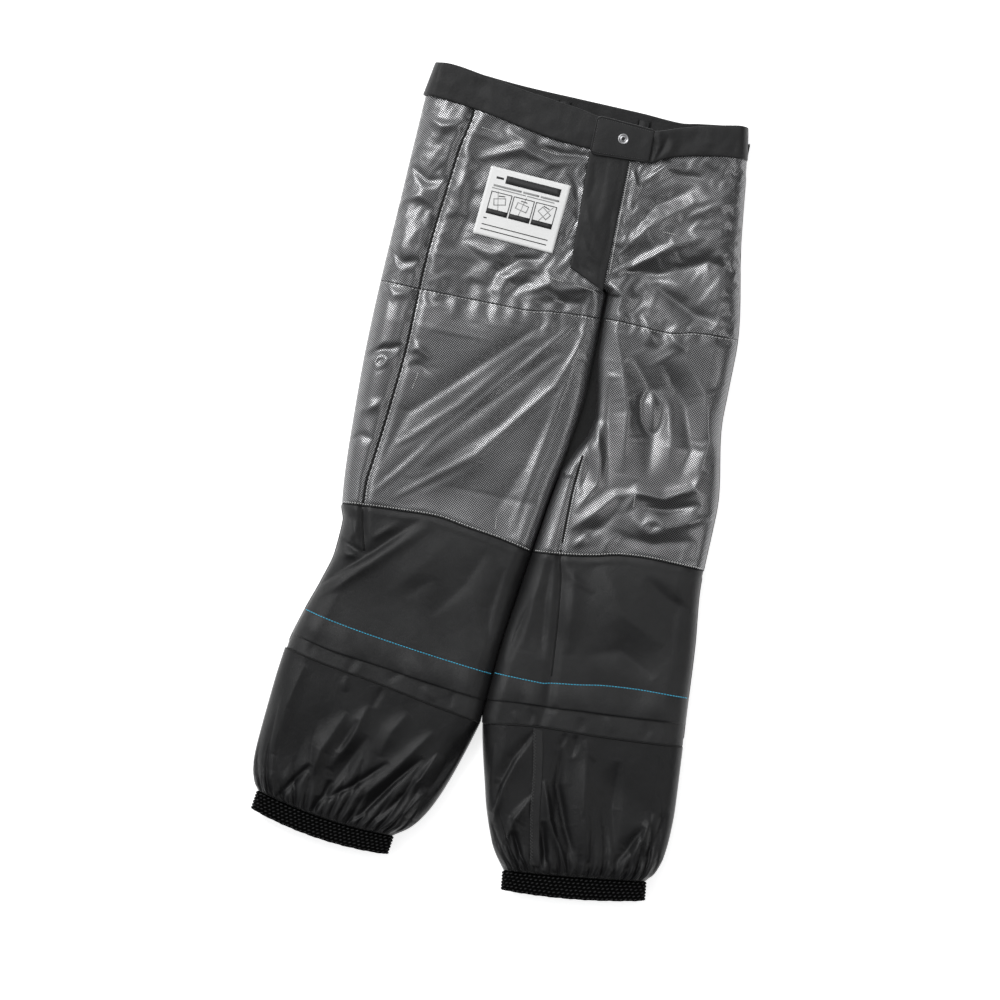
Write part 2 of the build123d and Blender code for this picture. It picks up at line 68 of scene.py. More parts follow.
EDGE_Z = 12.0  # where the front and back of a leg meet, along its outline
TOP_Z = 33.0  # the front cloth between its folds
BACK_Z = 0.9  # the back cloth, which lies on the floor
ROLL = 26.0  # how far from the outline the front cloth is still rising
BACK_ROLL = 16.0
CLOTH = 0.7  # thickness of lining and gaiter cloth
SEED = 11
SIDES = ("left", "right")


def node_box(node):
    """Lowest and highest corner of a CAD node, in millimetres."""
    low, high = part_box(node)
    return np.array(low) / MM, np.array(high) / MM


def node_points(node):
    """Every vertex of a CAD node, in millimetres."""
    return np.array([v.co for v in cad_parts[node].data.vertices], float) / MM


def outline(node, side=0):
    """The ridge of a seam strip as (x, y) from top to bottom: side -1 or 1 takes the left or right one of two."""
    points = node_points(node)
    middle = points[:, 2].max() / 2
    ridge = points[np.abs(points[:, 2] - middle) < 0.5]
    if side:
        split = (points[:, 0].min() + points[:, 0].max()) / 2
        ridge = ridge[(ridge[:, 0] - split) * side > 0]
    ridge = np.unique(ridge[:, :2].round(1), axis=0)
    return ridge[np.argsort(-ridge[:, 1])]


def smooth(points):
    """A smooth curve x(y) through points that run from top to bottom."""
    points = np.array(points, float)
    order = np.argsort(points[:, 1])
    y, x = points[order, 1], points[order, 0]
    rise_, run = np.diff(x), np.diff(y)
    secant = rise_ / run
    slope = np.concatenate([secant[:1], np.zeros(len(x) - 2), secant[-1:]])
    for i in range(1, len(x) - 1):  # harmonic means, so that the curve never swings past its points
        if secant[i - 1] * secant[i] > 0:
            near, far = 2 * run[i] + run[i - 1], run[i] + 2 * run[i - 1]
            slope[i] = (near + far) / (near / secant[i - 1] + far / secant[i])

    def curve(at):
        at = np.clip(at, y[0], y[-1])
        i = np.clip(np.searchsorted(y, at) - 1, 0, len(y) - 2)
        step = y[i + 1] - y[i]
        t = (at - y[i]) / step
        h00, h10 = (1 + 2 * t) * (1 - t) ** 2, t * (1 - t) ** 2
        h01, h11 = t * t * (3 - 2 * t), t * t * (t - 1)
        return h00 * x[i] + h10 * step * slope[i] + h01 * x[i + 1] + h11 * step * slope[i + 1]

    return curve


def along(points):
    """A smooth curve y(x) through points that run from left to right."""
    return smooth([(y, x) for x, y in points])


# ---- outlines, from the frame's seam strips ------------------------------------------------------

BAND_LOWER = along([(-181, 373), (-128, 367.5), (-78, 359), (-48, 354), (-18, 351.5), (42, 350),
                    (56, 348.6), (60, 349), (68, 353.5), (82, 359.5), (112, 366.5), (142, 371.5), (158, 373)])
# the seam between dotted and plain lining, and the seam across each thigh
KNEE_SEAM = {"left": along([(-180, -54), (-128, -50), (-85, -48), (-48, -53), (-18, -57), (21, -65)]),
             "right": along([(21, -64), (52, -61), (82, -56), (112, -49), (142, -47), (198, -48)])}
HIP_SEAM = {"left": along([(-188, 178), (-146, 177), (-38, 177), (-8, 181), (20, 183), (43, 184)]),
            "right": along([(43, 185), (57, 185), (87, 184), (112, 183), (142, 189), (187, 191)])}
# where the gaiter is sewn on, from its outer to its inner end
GAITER_SEAM = {"left": along([(-209, -210), (-168, -218), (-108, -227), (-48, -238), (3, -246)]),
               "right": along([(7, -246), (37, -241), (67, -237.5), (122, -235.5), (162, -233), (213, -229)])}
THREAD_LINE = {"left": along([(-199, -167), (-168, -173.5), (-108, -182.5), (-48, -189.5), (8, -195)]),
               "right": along([(5, -193), (57, -193.5), (67, -191.5), (92, -188), (122, -183), (162, -180),
                               (210, -179)])}
FOLD_LINE = {"left": along([(-203, -194.5), (-158, -204), (-108, -209.5), (-68, -215), (8, -223)]),
             "right": along([(5, -221), (42, -217.5), (72, -216), (102, -213.5), (132, -211.5), (212, -205)])}
# how far each leg's inner outline is pushed in, by -y
PRESS = {"left": ([-211, 177, 225, 246], [0.85, 0.85, 2.4, 2.8]),
         "right": ([-211, 150, 177, 225, 239, 246], [0.85, 0.85, 2.0, 4.8, 5.4, 3.6])}


def leg_edges(side):
    """The outer and inner outline of one leg from waist to gaiter seam, as curves x(y)."""
    outward = -1 if side == "left" else 1
    outer = np.vstack([outline(f"outseam_{side}")[:-1], outline(f"leg_seams_{side}", outward)])
    inner = np.vstack([outline(f"inseam_{side}")[:-1], outline(f"leg_seams_{side}", -outward)])
    slot = [(15.0, 374), (15.0, 240), (17, 229), (24, 219.5), (34, 213.5)]
    if side == "right":
        slot = [(32.6, 374), (32.6, 240), (33.2, 229), (36, 219), (40, 213.5)]
    inner = np.vstack([slot, inner])
    outer = np.vstack([outer, [outer[-1][0] + outward * 3, -250]])
    inner = np.vstack([inner, [inner[-1][0] - outward * 0.5, -250]])
    more = np.array([-190.0, -205, -218, -230, -240])  # heights at which the pressing has a point to move
    inner = np.vstack([inner, np.stack([np.interp(-more, -inner[:, 1], inner[:, 0]), more], -1)])
    inner = inner[np.argsort(-inner[:, 1], kind="stable")]
    press = np.interp(-inner[:, 1], *PRESS[side])  # the legs lie pressed together down to the gaiters
    inner[:, 0] -= outward * press * (inner[:, 1] < 211)
    return smooth(outer), smooth(inner)


EDGES = {side: leg_edges(side) for side in SIDES}
CROTCH = np.array([42.6, 210.0])
# the right edge of the dark gap between the thighs
GAP_Y = np.array([20.0, 43.0, 63.0, 83.0, 103.0, 143.0, 180.0, 210.0])
GAP_X = np.array([32.0, 42.5, 52.5, 57.0, 54.5, 47.0, 45.2, 43.8])


# ---- cloth ---------------------------------------------------------------------------------------


def spread(count, bunch=0.55):
    """Positions from 0 to 1, closer together at both ends."""
    t = np.linspace(0, 1, count)
    return t - bunch * np.sin(2 * np.pi * t) / (2 * np.pi)


def plan_grid(side, top, bottom, rows, columns, back=False):
    """A grid over one leg between two curves y(x), as arrays x and y of rows by columns."""
    outer, inner = EDGES[side]
    if back:  # a seam up the middle closes the back, where the front has its fly
        def inner(y):
            return np.where(y > 210, np.interp(y, [210, 240, 300, 374], [42.6, 38, 30, 24]), EDGES[side][1](y))
    uu, vv = np.meshgrid(spread(columns), np.linspace(0, 1, rows))
    y = np.full(uu.shape, 0.0) + 0.5 * (top(np.array(0.0)) + bottom(np.array(0.0)))
    for _ in range(12):
        x = outer(y) + (inner(y) - outer(y)) * uu
        y = top(x) + (bottom(x) - top(x)) * vv
    return x, y


def rise(distance, reach):
    """A quarter-round rise from 0 at the outline to 1 at this reach."""
    return np.sqrt(np.clip(1 - (1 - np.clip(distance / reach, 0, 1)) ** 2, 0, 1))


def leg_height(side, x, y, top=TOP_Z, reach=ROLL):
    """Height of the puffed front of a leg above the floor."""
    outer, inner = EDGES[side]
    from_outer = np.abs(x - outer(y))
    from_inner = np.where(y < CROTCH[1], np.abs(inner(y) - x), 999.0)
    from_inner = np.minimum(from_inner, np.hypot(x - CROTCH[0], y - CROTCH[1]) + np.where(y < CROTCH[1], 999, 0))
    if side == "right":  # beside the crotch the cloth dips into a dark gap before it rises
        gap = np.interp(y, GAP_Y, GAP_X)
        from_inner = np.where((y < CROTCH[1]) & (y > GAP_Y[0]) & (x < gap + 0.01), 0.0, from_inner)
        from_inner = np.where((y < CROTCH[1]) & (y > GAP_Y[0]) & (x >= gap), x - gap + 1.5, from_inner)
    low = rise(from_outer, reach) * rise(from_inner, np.where(y < CROTCH[1], np.minimum(reach, 18), 10))
    return EDGE_Z + (top - EDGE_Z) * low


def noise(x, y, size, seed=0, stretch=1.0, angle=0.0):
    """Smooth noise between about -1 and 1, made of a few waves in fixed random directions."""
    draw = np.random.default_rng(SEED + seed)
    c, s = math.cos(math.radians(angle)), math.sin(math.radians(angle))
    along_, across_ = (x * c + y * s) / stretch, -x * s + y * c
    total = np.zeros_like(x)
    for _ in range(14):
        heading, phase, scale = draw.uniform(0, 2 * np.pi), draw.uniform(0, 2 * np.pi), draw.uniform(0.6, 1.7)
        k = 2 * np.pi / (size * scale)
        total += np.sin(k * (along_ * np.cos(heading) + across_ * np.sin(heading)) + phase)
    return total / 4.0


def fold(x, y, path, height, width, lean=0.0):
    """A fold along a path of points: a ridge if height is positive, a valley if negative, tapering at its ends."""
    total = np.zeros_like(x)
    best = np.full_like(x, 1e9)
    path = np.array(path, float)
    runs = np.hypot(*np.diff(path, axis=0).T)
    length = runs.sum()
    done = 0.0
    for (x0, y0), (x1, y1), run in zip(path, path[1:], runs):
        dx, dy = (x1 - x0) / run, (y1 - y0) / run
        t = np.clip((x - x0) * dx + (y - y0) * dy, 0, run)
        off_x, off_y = x - x0 - t * dx, y - y0 - t * dy
        distance = np.hypot(off_x, off_y)
        side_of = (off_x * dy - off_y * dx) / np.maximum(distance, 1e-6)
        near = distance < best
        s = (done + t) / length
        taper = np.clip(4 * s * (1 - s), 0, 1) ** (0.75 if width < 5 else 1.2)
        wide = width * (1 + lean * side_of) * (0.55 + 0.45 * taper)
        far = distance / wide
        round_, sharp = np.exp(-(far ** 2)), np.exp(-1.5 * (np.sqrt(far ** 2 + 0.03) - 0.17))
        value = height * taper * (0.45 * round_ + 0.55 * sharp)
        total = np.where(near, value, total)
        best = np.where(near, distance, best)
        done += run
    return total


def creased(x, y, creases):
    """The heights of all the folds in a table, added up."""
    total = np.zeros_like(x)
    for path, height, width, *lean in creases:
        total += fold(x, y, path, height, width, *lean)
    return total


def pull(points, weight, a, b, rest, strength):
    """Moves the two ends of every edge from a to b towards its rest length."""
    gap = points[b] - points[a]
    length = np.sqrt((gap * gap).sum(-1))
    share = strength * (length - rest) / (length * (weight[a] + weight[b]) + 1e-9)
    points[a] += gap * (share * weight[a])[..., None]
    points[b] -= gap * (share * weight[b])[..., None]


def distance_of(points, a, b):
    """The lengths of the edges from a to b."""
    return np.sqrt(((points[b] - points[a]) ** 2).sum(-1))


def relax(points, weight, low, high, ease, steps, passes, stiff=0.12):
    """Lets a cloth with a share of ease in its edges settle between two height limits.

    Pinned points have weight 0. The edges are held in turn, those that share no point at once.
    """
    flat = points.copy()
    s = slice
    every = s(None)
    edges = []
    for parity in (0, 1):
        edges.append(((every, s(parity, -1, 2)), (every, s(parity + 1, None, 2)), 1.0))
        edges.append(((s(parity, -1, 2), every), (s(parity + 1, None, 2), every), 1.0))
        edges.append(((s(parity, -1, 2), s(0, -1)), (s(parity + 1, None, 2), s(1, None)), 0.35))
        edges.append(((s(parity, -1, 2), s(1, None)), (s(parity + 1, None, 2), s(0, -1)), 0.35))
    rows, columns = weight.shape
    for first in (0, 1, 2, 3):
        if columns > first + 2:
            edges.append(((every, s(first, columns - 2, 4)), (every, s(first + 2, None, 4)), stiff))
        if rows > first + 2:
            edges.append(((s(first, rows - 2, 4), every), (s(first + 2, None, 4), every), stiff))
    held = []
    for a, b, strength in edges:
        counts = [min(len(range(*p.indices(n))), len(range(*q.indices(n)))) for p, q, n in zip(a, b, weight.shape)]
        a, b = first_of(a, counts, weight.shape), first_of(b, counts, weight.shape)
        rest = distance_of(flat, a, b) * (1 + 0.5 * (ease[a] + ease[b]))
        held.append((a, b, rest, strength))
    before = points.copy()
    for _ in range(steps):
        speed = (points - before) * 0.9
        before = points.copy()
        points += speed * weight[..., None]
        for _ in range(passes):
            for a, b, rest, strength in held:
                pull(points, weight, a, b, rest, strength)
        points[..., 2] = np.where(weight > 0, np.clip(points[..., 2], low, high), points[..., 2])
    return points


def first_of(index, counts, shape):
    """The same slices, cut to this many rows and columns."""
    cut = []
    for part, count, size in zip(index, counts, shape):
        start, _, step = part.indices(size)
        cut.append(slice(start, start + (count - 1) * step + 1, step))
    return tuple(cut)


# ---- meshes --------------------------------------------------------------------------------------


def grid_quads(rows, columns, start=0):
    """The quads of an open grid of points, whose numbers begin at start."""
    index = start + np.arange(rows * columns).reshape(rows, columns)
    return np.stack([index[:-1, :-1], index[1:, :-1], index[1:, 1:], index[:-1, 1:]], -1).reshape(-1, 4)


def ring_quads(rows, columns):
    """The quads of a grid of points that closes on itself both ways."""
    index = np.arange(rows * columns).reshape(rows, columns)
    beside = np.roll(index, -1, axis=1)
    return np.stack([index, beside, np.roll(beside, -1, axis=0), np.roll(index, -1, axis=0)], -1).reshape(-1, 4)


def make_piece(name, points, faces, uv, cloth, thickness=0.0, levels=0):
    """A piece from points and flat UVs in millimetres, perhaps thickened and smoothed."""
    mesh = bpy.data.meshes.new(name)
    mesh.from_pydata((points.reshape(-1, 3) * MM).tolist(), [], faces)
    corner = np.empty(len(mesh.loops), int)
    mesh.loops.foreach_get("vertex_index", corner)
    mesh.uv_layers.new(name="UVMap").data.foreach_set("uv", (uv.reshape(-1, 2)[corner] * MM).ravel())
    mesh.validate()
    mesh.polygons.foreach_set("use_smooth", [True] * len(mesh.polygons))
    piece = bpy.data.objects.new(name if name not in bpy.data.objects else f"sewn_{name}", mesh)
    bpy.context.scene.collection.objects.link(piece)
    mesh.materials.append(cloth)
    if thickness:
        thick = piece.modifiers.new("thickness", "SOLIDIFY")
        thick.thickness, thick.offset = thickness * MM, -1
    if levels:
        finer = piece.modifiers.new("smooth", "SUBSURF")
        finer.levels = finer.render_levels = levels
        finer.boundary_smooth = "PRESERVE_CORNERS"
    return piece


def sheet_mesh(name, grid, flat, cloth, thickness=CLOTH, levels=1, flip=False):
    """A sheet from a grid of points; flat is where they lie once it is flat, or None for their plan."""
    quads = grid_quads(*grid.shape[:2])
    if flip:
        quads = quads[:, ::-1]
    return make_piece(name, grid, quads.tolist(), grid[..., :2] if flat is None else flat, cloth, thickness, levels)


def join(name, pieces):
    """Makes one piece of several, with their modifiers applied."""
    bpy.ops.object.select_all(action="DESELECT")
    for piece in pieces:
        piece.select_set(True)
        apply_modifiers(piece)
    bpy.context.view_layer.objects.active = pieces[0]
    bpy.ops.object.join()
    pieces[0].name = name
    pieces[0].data.name = name
    return pieces[0]


def apply_modifiers(piece):
    bpy.context.view_layer.objects.active = piece
    for modifier in list(piece.modifiers):
        bpy.ops.object.modifier_apply(modifier=modifier.name)


# ---- materials -----------------------------------------------------------------------------------


def node(tree, kind, inputs=None, **settings):
    """Adds a shader node; inputs are values or the sockets that feed them."""
    made = tree.nodes.new("ShaderNode" + kind)
    for name, value in settings.items():
        setattr(made, name, value)
    for name, value in (inputs or {}).items():
        if isinstance(value, bpy.types.NodeSocket):
            tree.links.new(value, made.inputs[name])
        else:
            made.inputs[name].default_value = value
    return made


def material(name, colour, roughness, **constants):
    """A new material with a principled shader; returns it with its tree and shader."""
    made = bpy.data.materials.new(name)
    made.use_nodes = True
    tree = made.node_tree
    shader = next(n for n in tree.nodes if n.type == "BSDF_PRINCIPLED")
    shader.inputs["Base Color"].default_value = (*colour, 1)
    shader.inputs["Roughness"].default_value = roughness
    for socket, value in constants.items():
        shader.inputs[socket.replace("_", " ")].default_value = value
    return made, tree, shader


def feed(tree, source, shader, socket):
    tree.links.new(source, shader.inputs[socket])


def two_tone(tree, share, dark, light):
    """A colour between dark and light."""
    mixed = node(tree, "Mix", {"Factor": share}, data_type="RGBA")
    mixed.inputs[6].default_value, mixed.inputs[7].default_value = (*dark, 1), (*light, 1)
    return mixed.outputs[2]


def mottled(tree, where, scale, dark, light, detail=3.0):
    """A colour that wanders between dark and light."""
    cloud = node(tree, "TexNoise", {"Vector": where, "Scale": scale, "Detail": detail, "Roughness": 0.55})
    ramp = node(tree, "MapRange", {"Value": cloud.outputs["Fac"], "From Min": 0.3, "From Max": 0.7})
    return two_tone(tree, ramp.outputs["Result"], dark, light)


def patchy(tree, shader, where, scale, detail, low, high):
    """A roughness that wanders between low and high; returns the noise behind it."""
    cloud = node(tree, "TexNoise", {"Vector": where, "Scale": scale, "Detail": detail})
    rough = node(tree, "MapRange", {"Value": cloud.outputs["Fac"], "To Min": low, "To Max": high})
    feed(tree, rough.outputs["Result"], shader, "Roughness")
    return cloud.outputs["Fac"]


def weave(tree, where, threads, strength, crumple=0.0, crumple_scale=60.0):
    """A bump with a plain weave of so many threads to the metre and, over it, small crumples."""
    across, down = (node(tree, "TexWave", {"Vector": where, "Scale": threads / 2, "Distortion": 0.4, "Detail": 1.0},
                         wave_type="BANDS", bands_direction=way) for way in "XY")
    cross = node(tree, "Math", {0: across.outputs["Fac"], 1: down.outputs["Fac"]}, operation="MULTIPLY")
    bump = node(tree, "Bump", {"Height": cross.outputs[0], "Strength": strength, "Distance": 0.0003})
    if crumple:
        cloud = node(tree, "TexNoise", {"Vector": where, "Scale": crumple_scale, "Detail": 4.0, "Roughness": 0.6,
                                        "Distortion": 0.5})
        bump = node(tree, "Bump", {"Height": cloud.outputs["Fac"], "Strength": crumple, "Distance": 0.004,
                                   "Normal": bump.outputs["Normal"]})
    return bump.outputs["Normal"]


DOT_PITCH = 0.00183  # metres between the lining's printed dots


def silver_dots():
    """Thin dark cloth printed with a lattice of metal dots."""
    made, tree, shader = material("silver_dotted_lining", (0.2, 0.2, 0.2), 0.4, Specular_IOR_Level=0.3)
    place = node(tree, "TexCoord")
    turned = node(tree, "Mapping", {"Vector": place.outputs["UV"], "Rotation": (0, 0, math.radians(45))})
    cells = node(tree, "TexVoronoi", {"Vector": turned.outputs["Vector"], "Scale": 1 / DOT_PITCH, "Randomness": 0.0},
                 voronoi_dimensions="2D")
    dot = node(tree, "MapRange", {"Value": cells.outputs["Distance"], "From Min": 0.24, "From Max": 0.42,
                                  "To Min": 1.0, "To Max": 0.0}, interpolation_type="SMOOTHSTEP")
    feed(tree, two_tone(tree, dot.outputs["Result"], (0.012, 0.012, 0.0122), (0.49, 0.49, 0.5)), shader, "Base Color")
    feed(tree, dot.outputs["Result"], shader, "Metallic")
    patchy(tree, shader, place.outputs["UV"], 45.0, 5.0, 0.25, 0.42)
    raised = node(tree, "Bump", {"Height": dot.outputs["Result"], "Strength": 0.15, "Distance": 0.0002,
                                 "Normal": weave(tree, place.outputs["UV"], 900, 0.1, 0.05, 60.0)})
    feed(tree, raised.outputs["Normal"], shader, "Normal")
    return made


def dark_cloth(name, dark, light, roughness, threads=1300, crumple=0.3, crumple_scale=55.0, sheen=0.15, specular=0.5):
    """Dark woven cloth, slightly uneven in colour and shine."""
    made, tree, shader = material(name, dark, roughness, Sheen_Weight=sheen, Sheen_Roughness=0.4,
                                  Specular_IOR_Level=specular)
    place = node(tree, "TexCoord")
    feed(tree, mottled(tree, place.outputs["Object"], 22.0, dark, light), shader, "Base Color")
    patchy(tree, shader, place.outputs["Object"], 35.0, 4.0, roughness - 0.07, roughness + 0.09)
    feed(tree, weave(tree, place.outputs["UV"], threads, 0.25, crumple, crumple_scale), shader, "Normal")
    return made


def wadding():
    made, tree, shader = material("white_wadding", (0.62, 0.62, 0.6), 0.95, Sheen_Weight=0.4)
    place = node(tree, "TexCoord")
    feed(tree, mottled(tree, place.outputs["Object"], 90.0, (0.5, 0.5, 0.49), (0.74, 0.74, 0.72), 6.0), shader,
         "Base Color")
    fluff = node(tree, "TexNoise", {"Vector": place.outputs["Object"], "Scale": 420.0, "Detail": 8.0})
    bump = node(tree, "Bump", {"Height": fluff.outputs["Fac"], "Strength": 0.8, "Distance": 0.0015})
    feed(tree, bump.outputs["Normal"], shader, "Normal")
    return made


def metal(name, colour, roughness):
    made, tree, shader = material(name, colour, roughness, Metallic=1.0)
    place = node(tree, "TexCoord")
    cloud = patchy(tree, shader, place.outputs["Object"], 600.0, 4.0, roughness * 0.7, roughness * 1.5)
    scratch = node(tree, "Bump", {"Height": cloud, "Strength": 0.08, "Distance": 0.0002})
    feed(tree, scratch.outputs["Normal"], shader, "Normal")
    return made


def yarn(name, colour, light, roughness=0.6):
    """Twisted thread or nylon: fine slanted ridges over a soft shine."""
    made, tree, shader = material(name, colour, roughness, Sheen_Weight=0.3)
    place = node(tree, "TexCoord")
    feed(tree, mottled(tree, place.outputs["Object"], 300.0, colour, light), shader, "Base Color")
    twist = node(tree, "TexWave", {"Vector": place.outputs["Object"], "Scale": 900.0}, wave_type="BANDS",
                 bands_direction="DIAGONAL")
    bump = node(tree, "Bump", {"Height": twist.outputs["Fac"], "Strength": 0.3, "Distance": 0.0002})
    feed(tree, bump.outputs["Normal"], shader, "Normal")
    return made


def knit_elastic():
    """Black elastic: slanted rows of knit, with painted highlights on the ribs and painted shade between them."""
    made, tree, shader = material("black_rib_elastic", (0.004, 0.004, 0.004), 0.8, Specular_IOR_Level=0.06)
    place = node(tree, "TexCoord")
    slant = node(tree, "TexWave", {"Vector": place.outputs["UV"], "Scale": 130.0, "Distortion": 0.6, "Detail": 2.0},
                 wave_type="BANDS", bands_direction="DIAGONAL")
    rib = node(tree, "TexWave", {"Vector": place.outputs["UV"], "Scale": 96.7, "Distortion": 0.0},
               wave_type="BANDS", bands_direction="Y")
    both = node(tree, "Math", {0: slant.outputs["Fac"], 1: rib.outputs["Fac"]}, operation="MULTIPLY")
    painted_rib_light = node(tree, "MapRange", {"Value": both.outputs[0], "From Min": 0.4, "From Max": 0.85})
    # the colour is painted light: bright where the knit rows rise on a rib, nearly black between the ribs as painted
    # shade
    feed(tree, two_tone(tree, painted_rib_light.outputs["Result"], (0.0005, 0.0005, 0.0005), (0.038, 0.038, 0.039)), shader,
         "Base Color")
    bump = node(tree, "Bump", {"Height": both.outputs[0], "Strength": 0.7, "Distance": 0.0008})
    feed(tree, bump.outputs["Normal"], shader, "Normal")
    return made


SILVER = silver_dots()
PLAIN = dark_cloth("plain_black_lining", (0.009, 0.009, 0.0095), (0.019, 0.019, 0.0195), 0.38, crumple=0.12,
                   sheen=0.03, specular=0.36)
GAITER = dark_cloth("gaiter_cloth", (0.007, 0.007, 0.0075), (0.011, 0.011, 0.0115), 0.30, crumple=0.14, sheen=0.02,
                    specular=0.29)
BAND = dark_cloth("waistband_cloth", (0.012, 0.012, 0.0125), (0.018, 0.018, 0.0185), 0.5, threads=1000, crumple=0.16,
                  sheen=0.05, specular=0.35)
SHELL = dark_cloth("shell_cloth", (0.012, 0.012, 0.014), (0.02, 0.02, 0.022), 0.6, threads=900, crumple=0.1)
POCKET = dark_cloth("pocket_cloth", (0.05, 0.05, 0.053), (0.07, 0.07, 0.073), 0.7, threads=700, crumple=0.15)
SEAM = dark_cloth("seam_binding", (0.006, 0.006, 0.006), (0.012, 0.012, 0.012), 0.6, threads=800, crumple=0.2,
                  sheen=0.0, specular=0.25)
ELASTIC = knit_elastic()
WADDING = wadding()
LABEL = dark_cloth("white_label", (0.95, 0.95, 0.945), (0.98, 0.98, 0.975), 0.5, threads=1500, crumple=0.05,
                   sheen=0.0)
INK = dark_cloth("label_print", (0.015, 0.015, 0.016), (0.03, 0.03, 0.031), 0.5, threads=1500, crumple=0.0)
GREY_INK = dark_cloth("label_print_grey", (0.3, 0.3, 0.3), (0.4, 0.4, 0.4), 0.5, threads=1500, crumple=0.0)
BLUE = yarn("blue_thread", (0.01, 0.45, 0.75), (0.04, 0.6, 0.9), 0.5)
BLACK_THREAD = yarn("black_thread", (0.012, 0.012, 0.012), (0.05, 0.05, 0.05))
SERGE_THREAD = yarn("serging_thread", (0.03, 0.03, 0.03), (0.09, 0.09, 0.09))
WHITE_THREAD = yarn("white_thread", (0.7, 0.7, 0.69), (0.85, 0.85, 0.84))
NYLON = yarn("zipper_nylon", (0.01, 0.01, 0.011), (0.02, 0.02, 0.021), 0.35)
TAPE = dark_cloth("zipper_tape_cloth", (0.012, 0.012, 0.012), (0.02, 0.02, 0.02), 0.7, threads=1800, crumple=0.0)
NICKEL = metal("snap_nickel", (0.42, 0.42, 0.43), 0.28)
GUNMETAL = metal("zipper_gunmetal", (0.13, 0.13, 0.14), 0.3)

# ---- legs ----------------------------------------------------------------------------------------

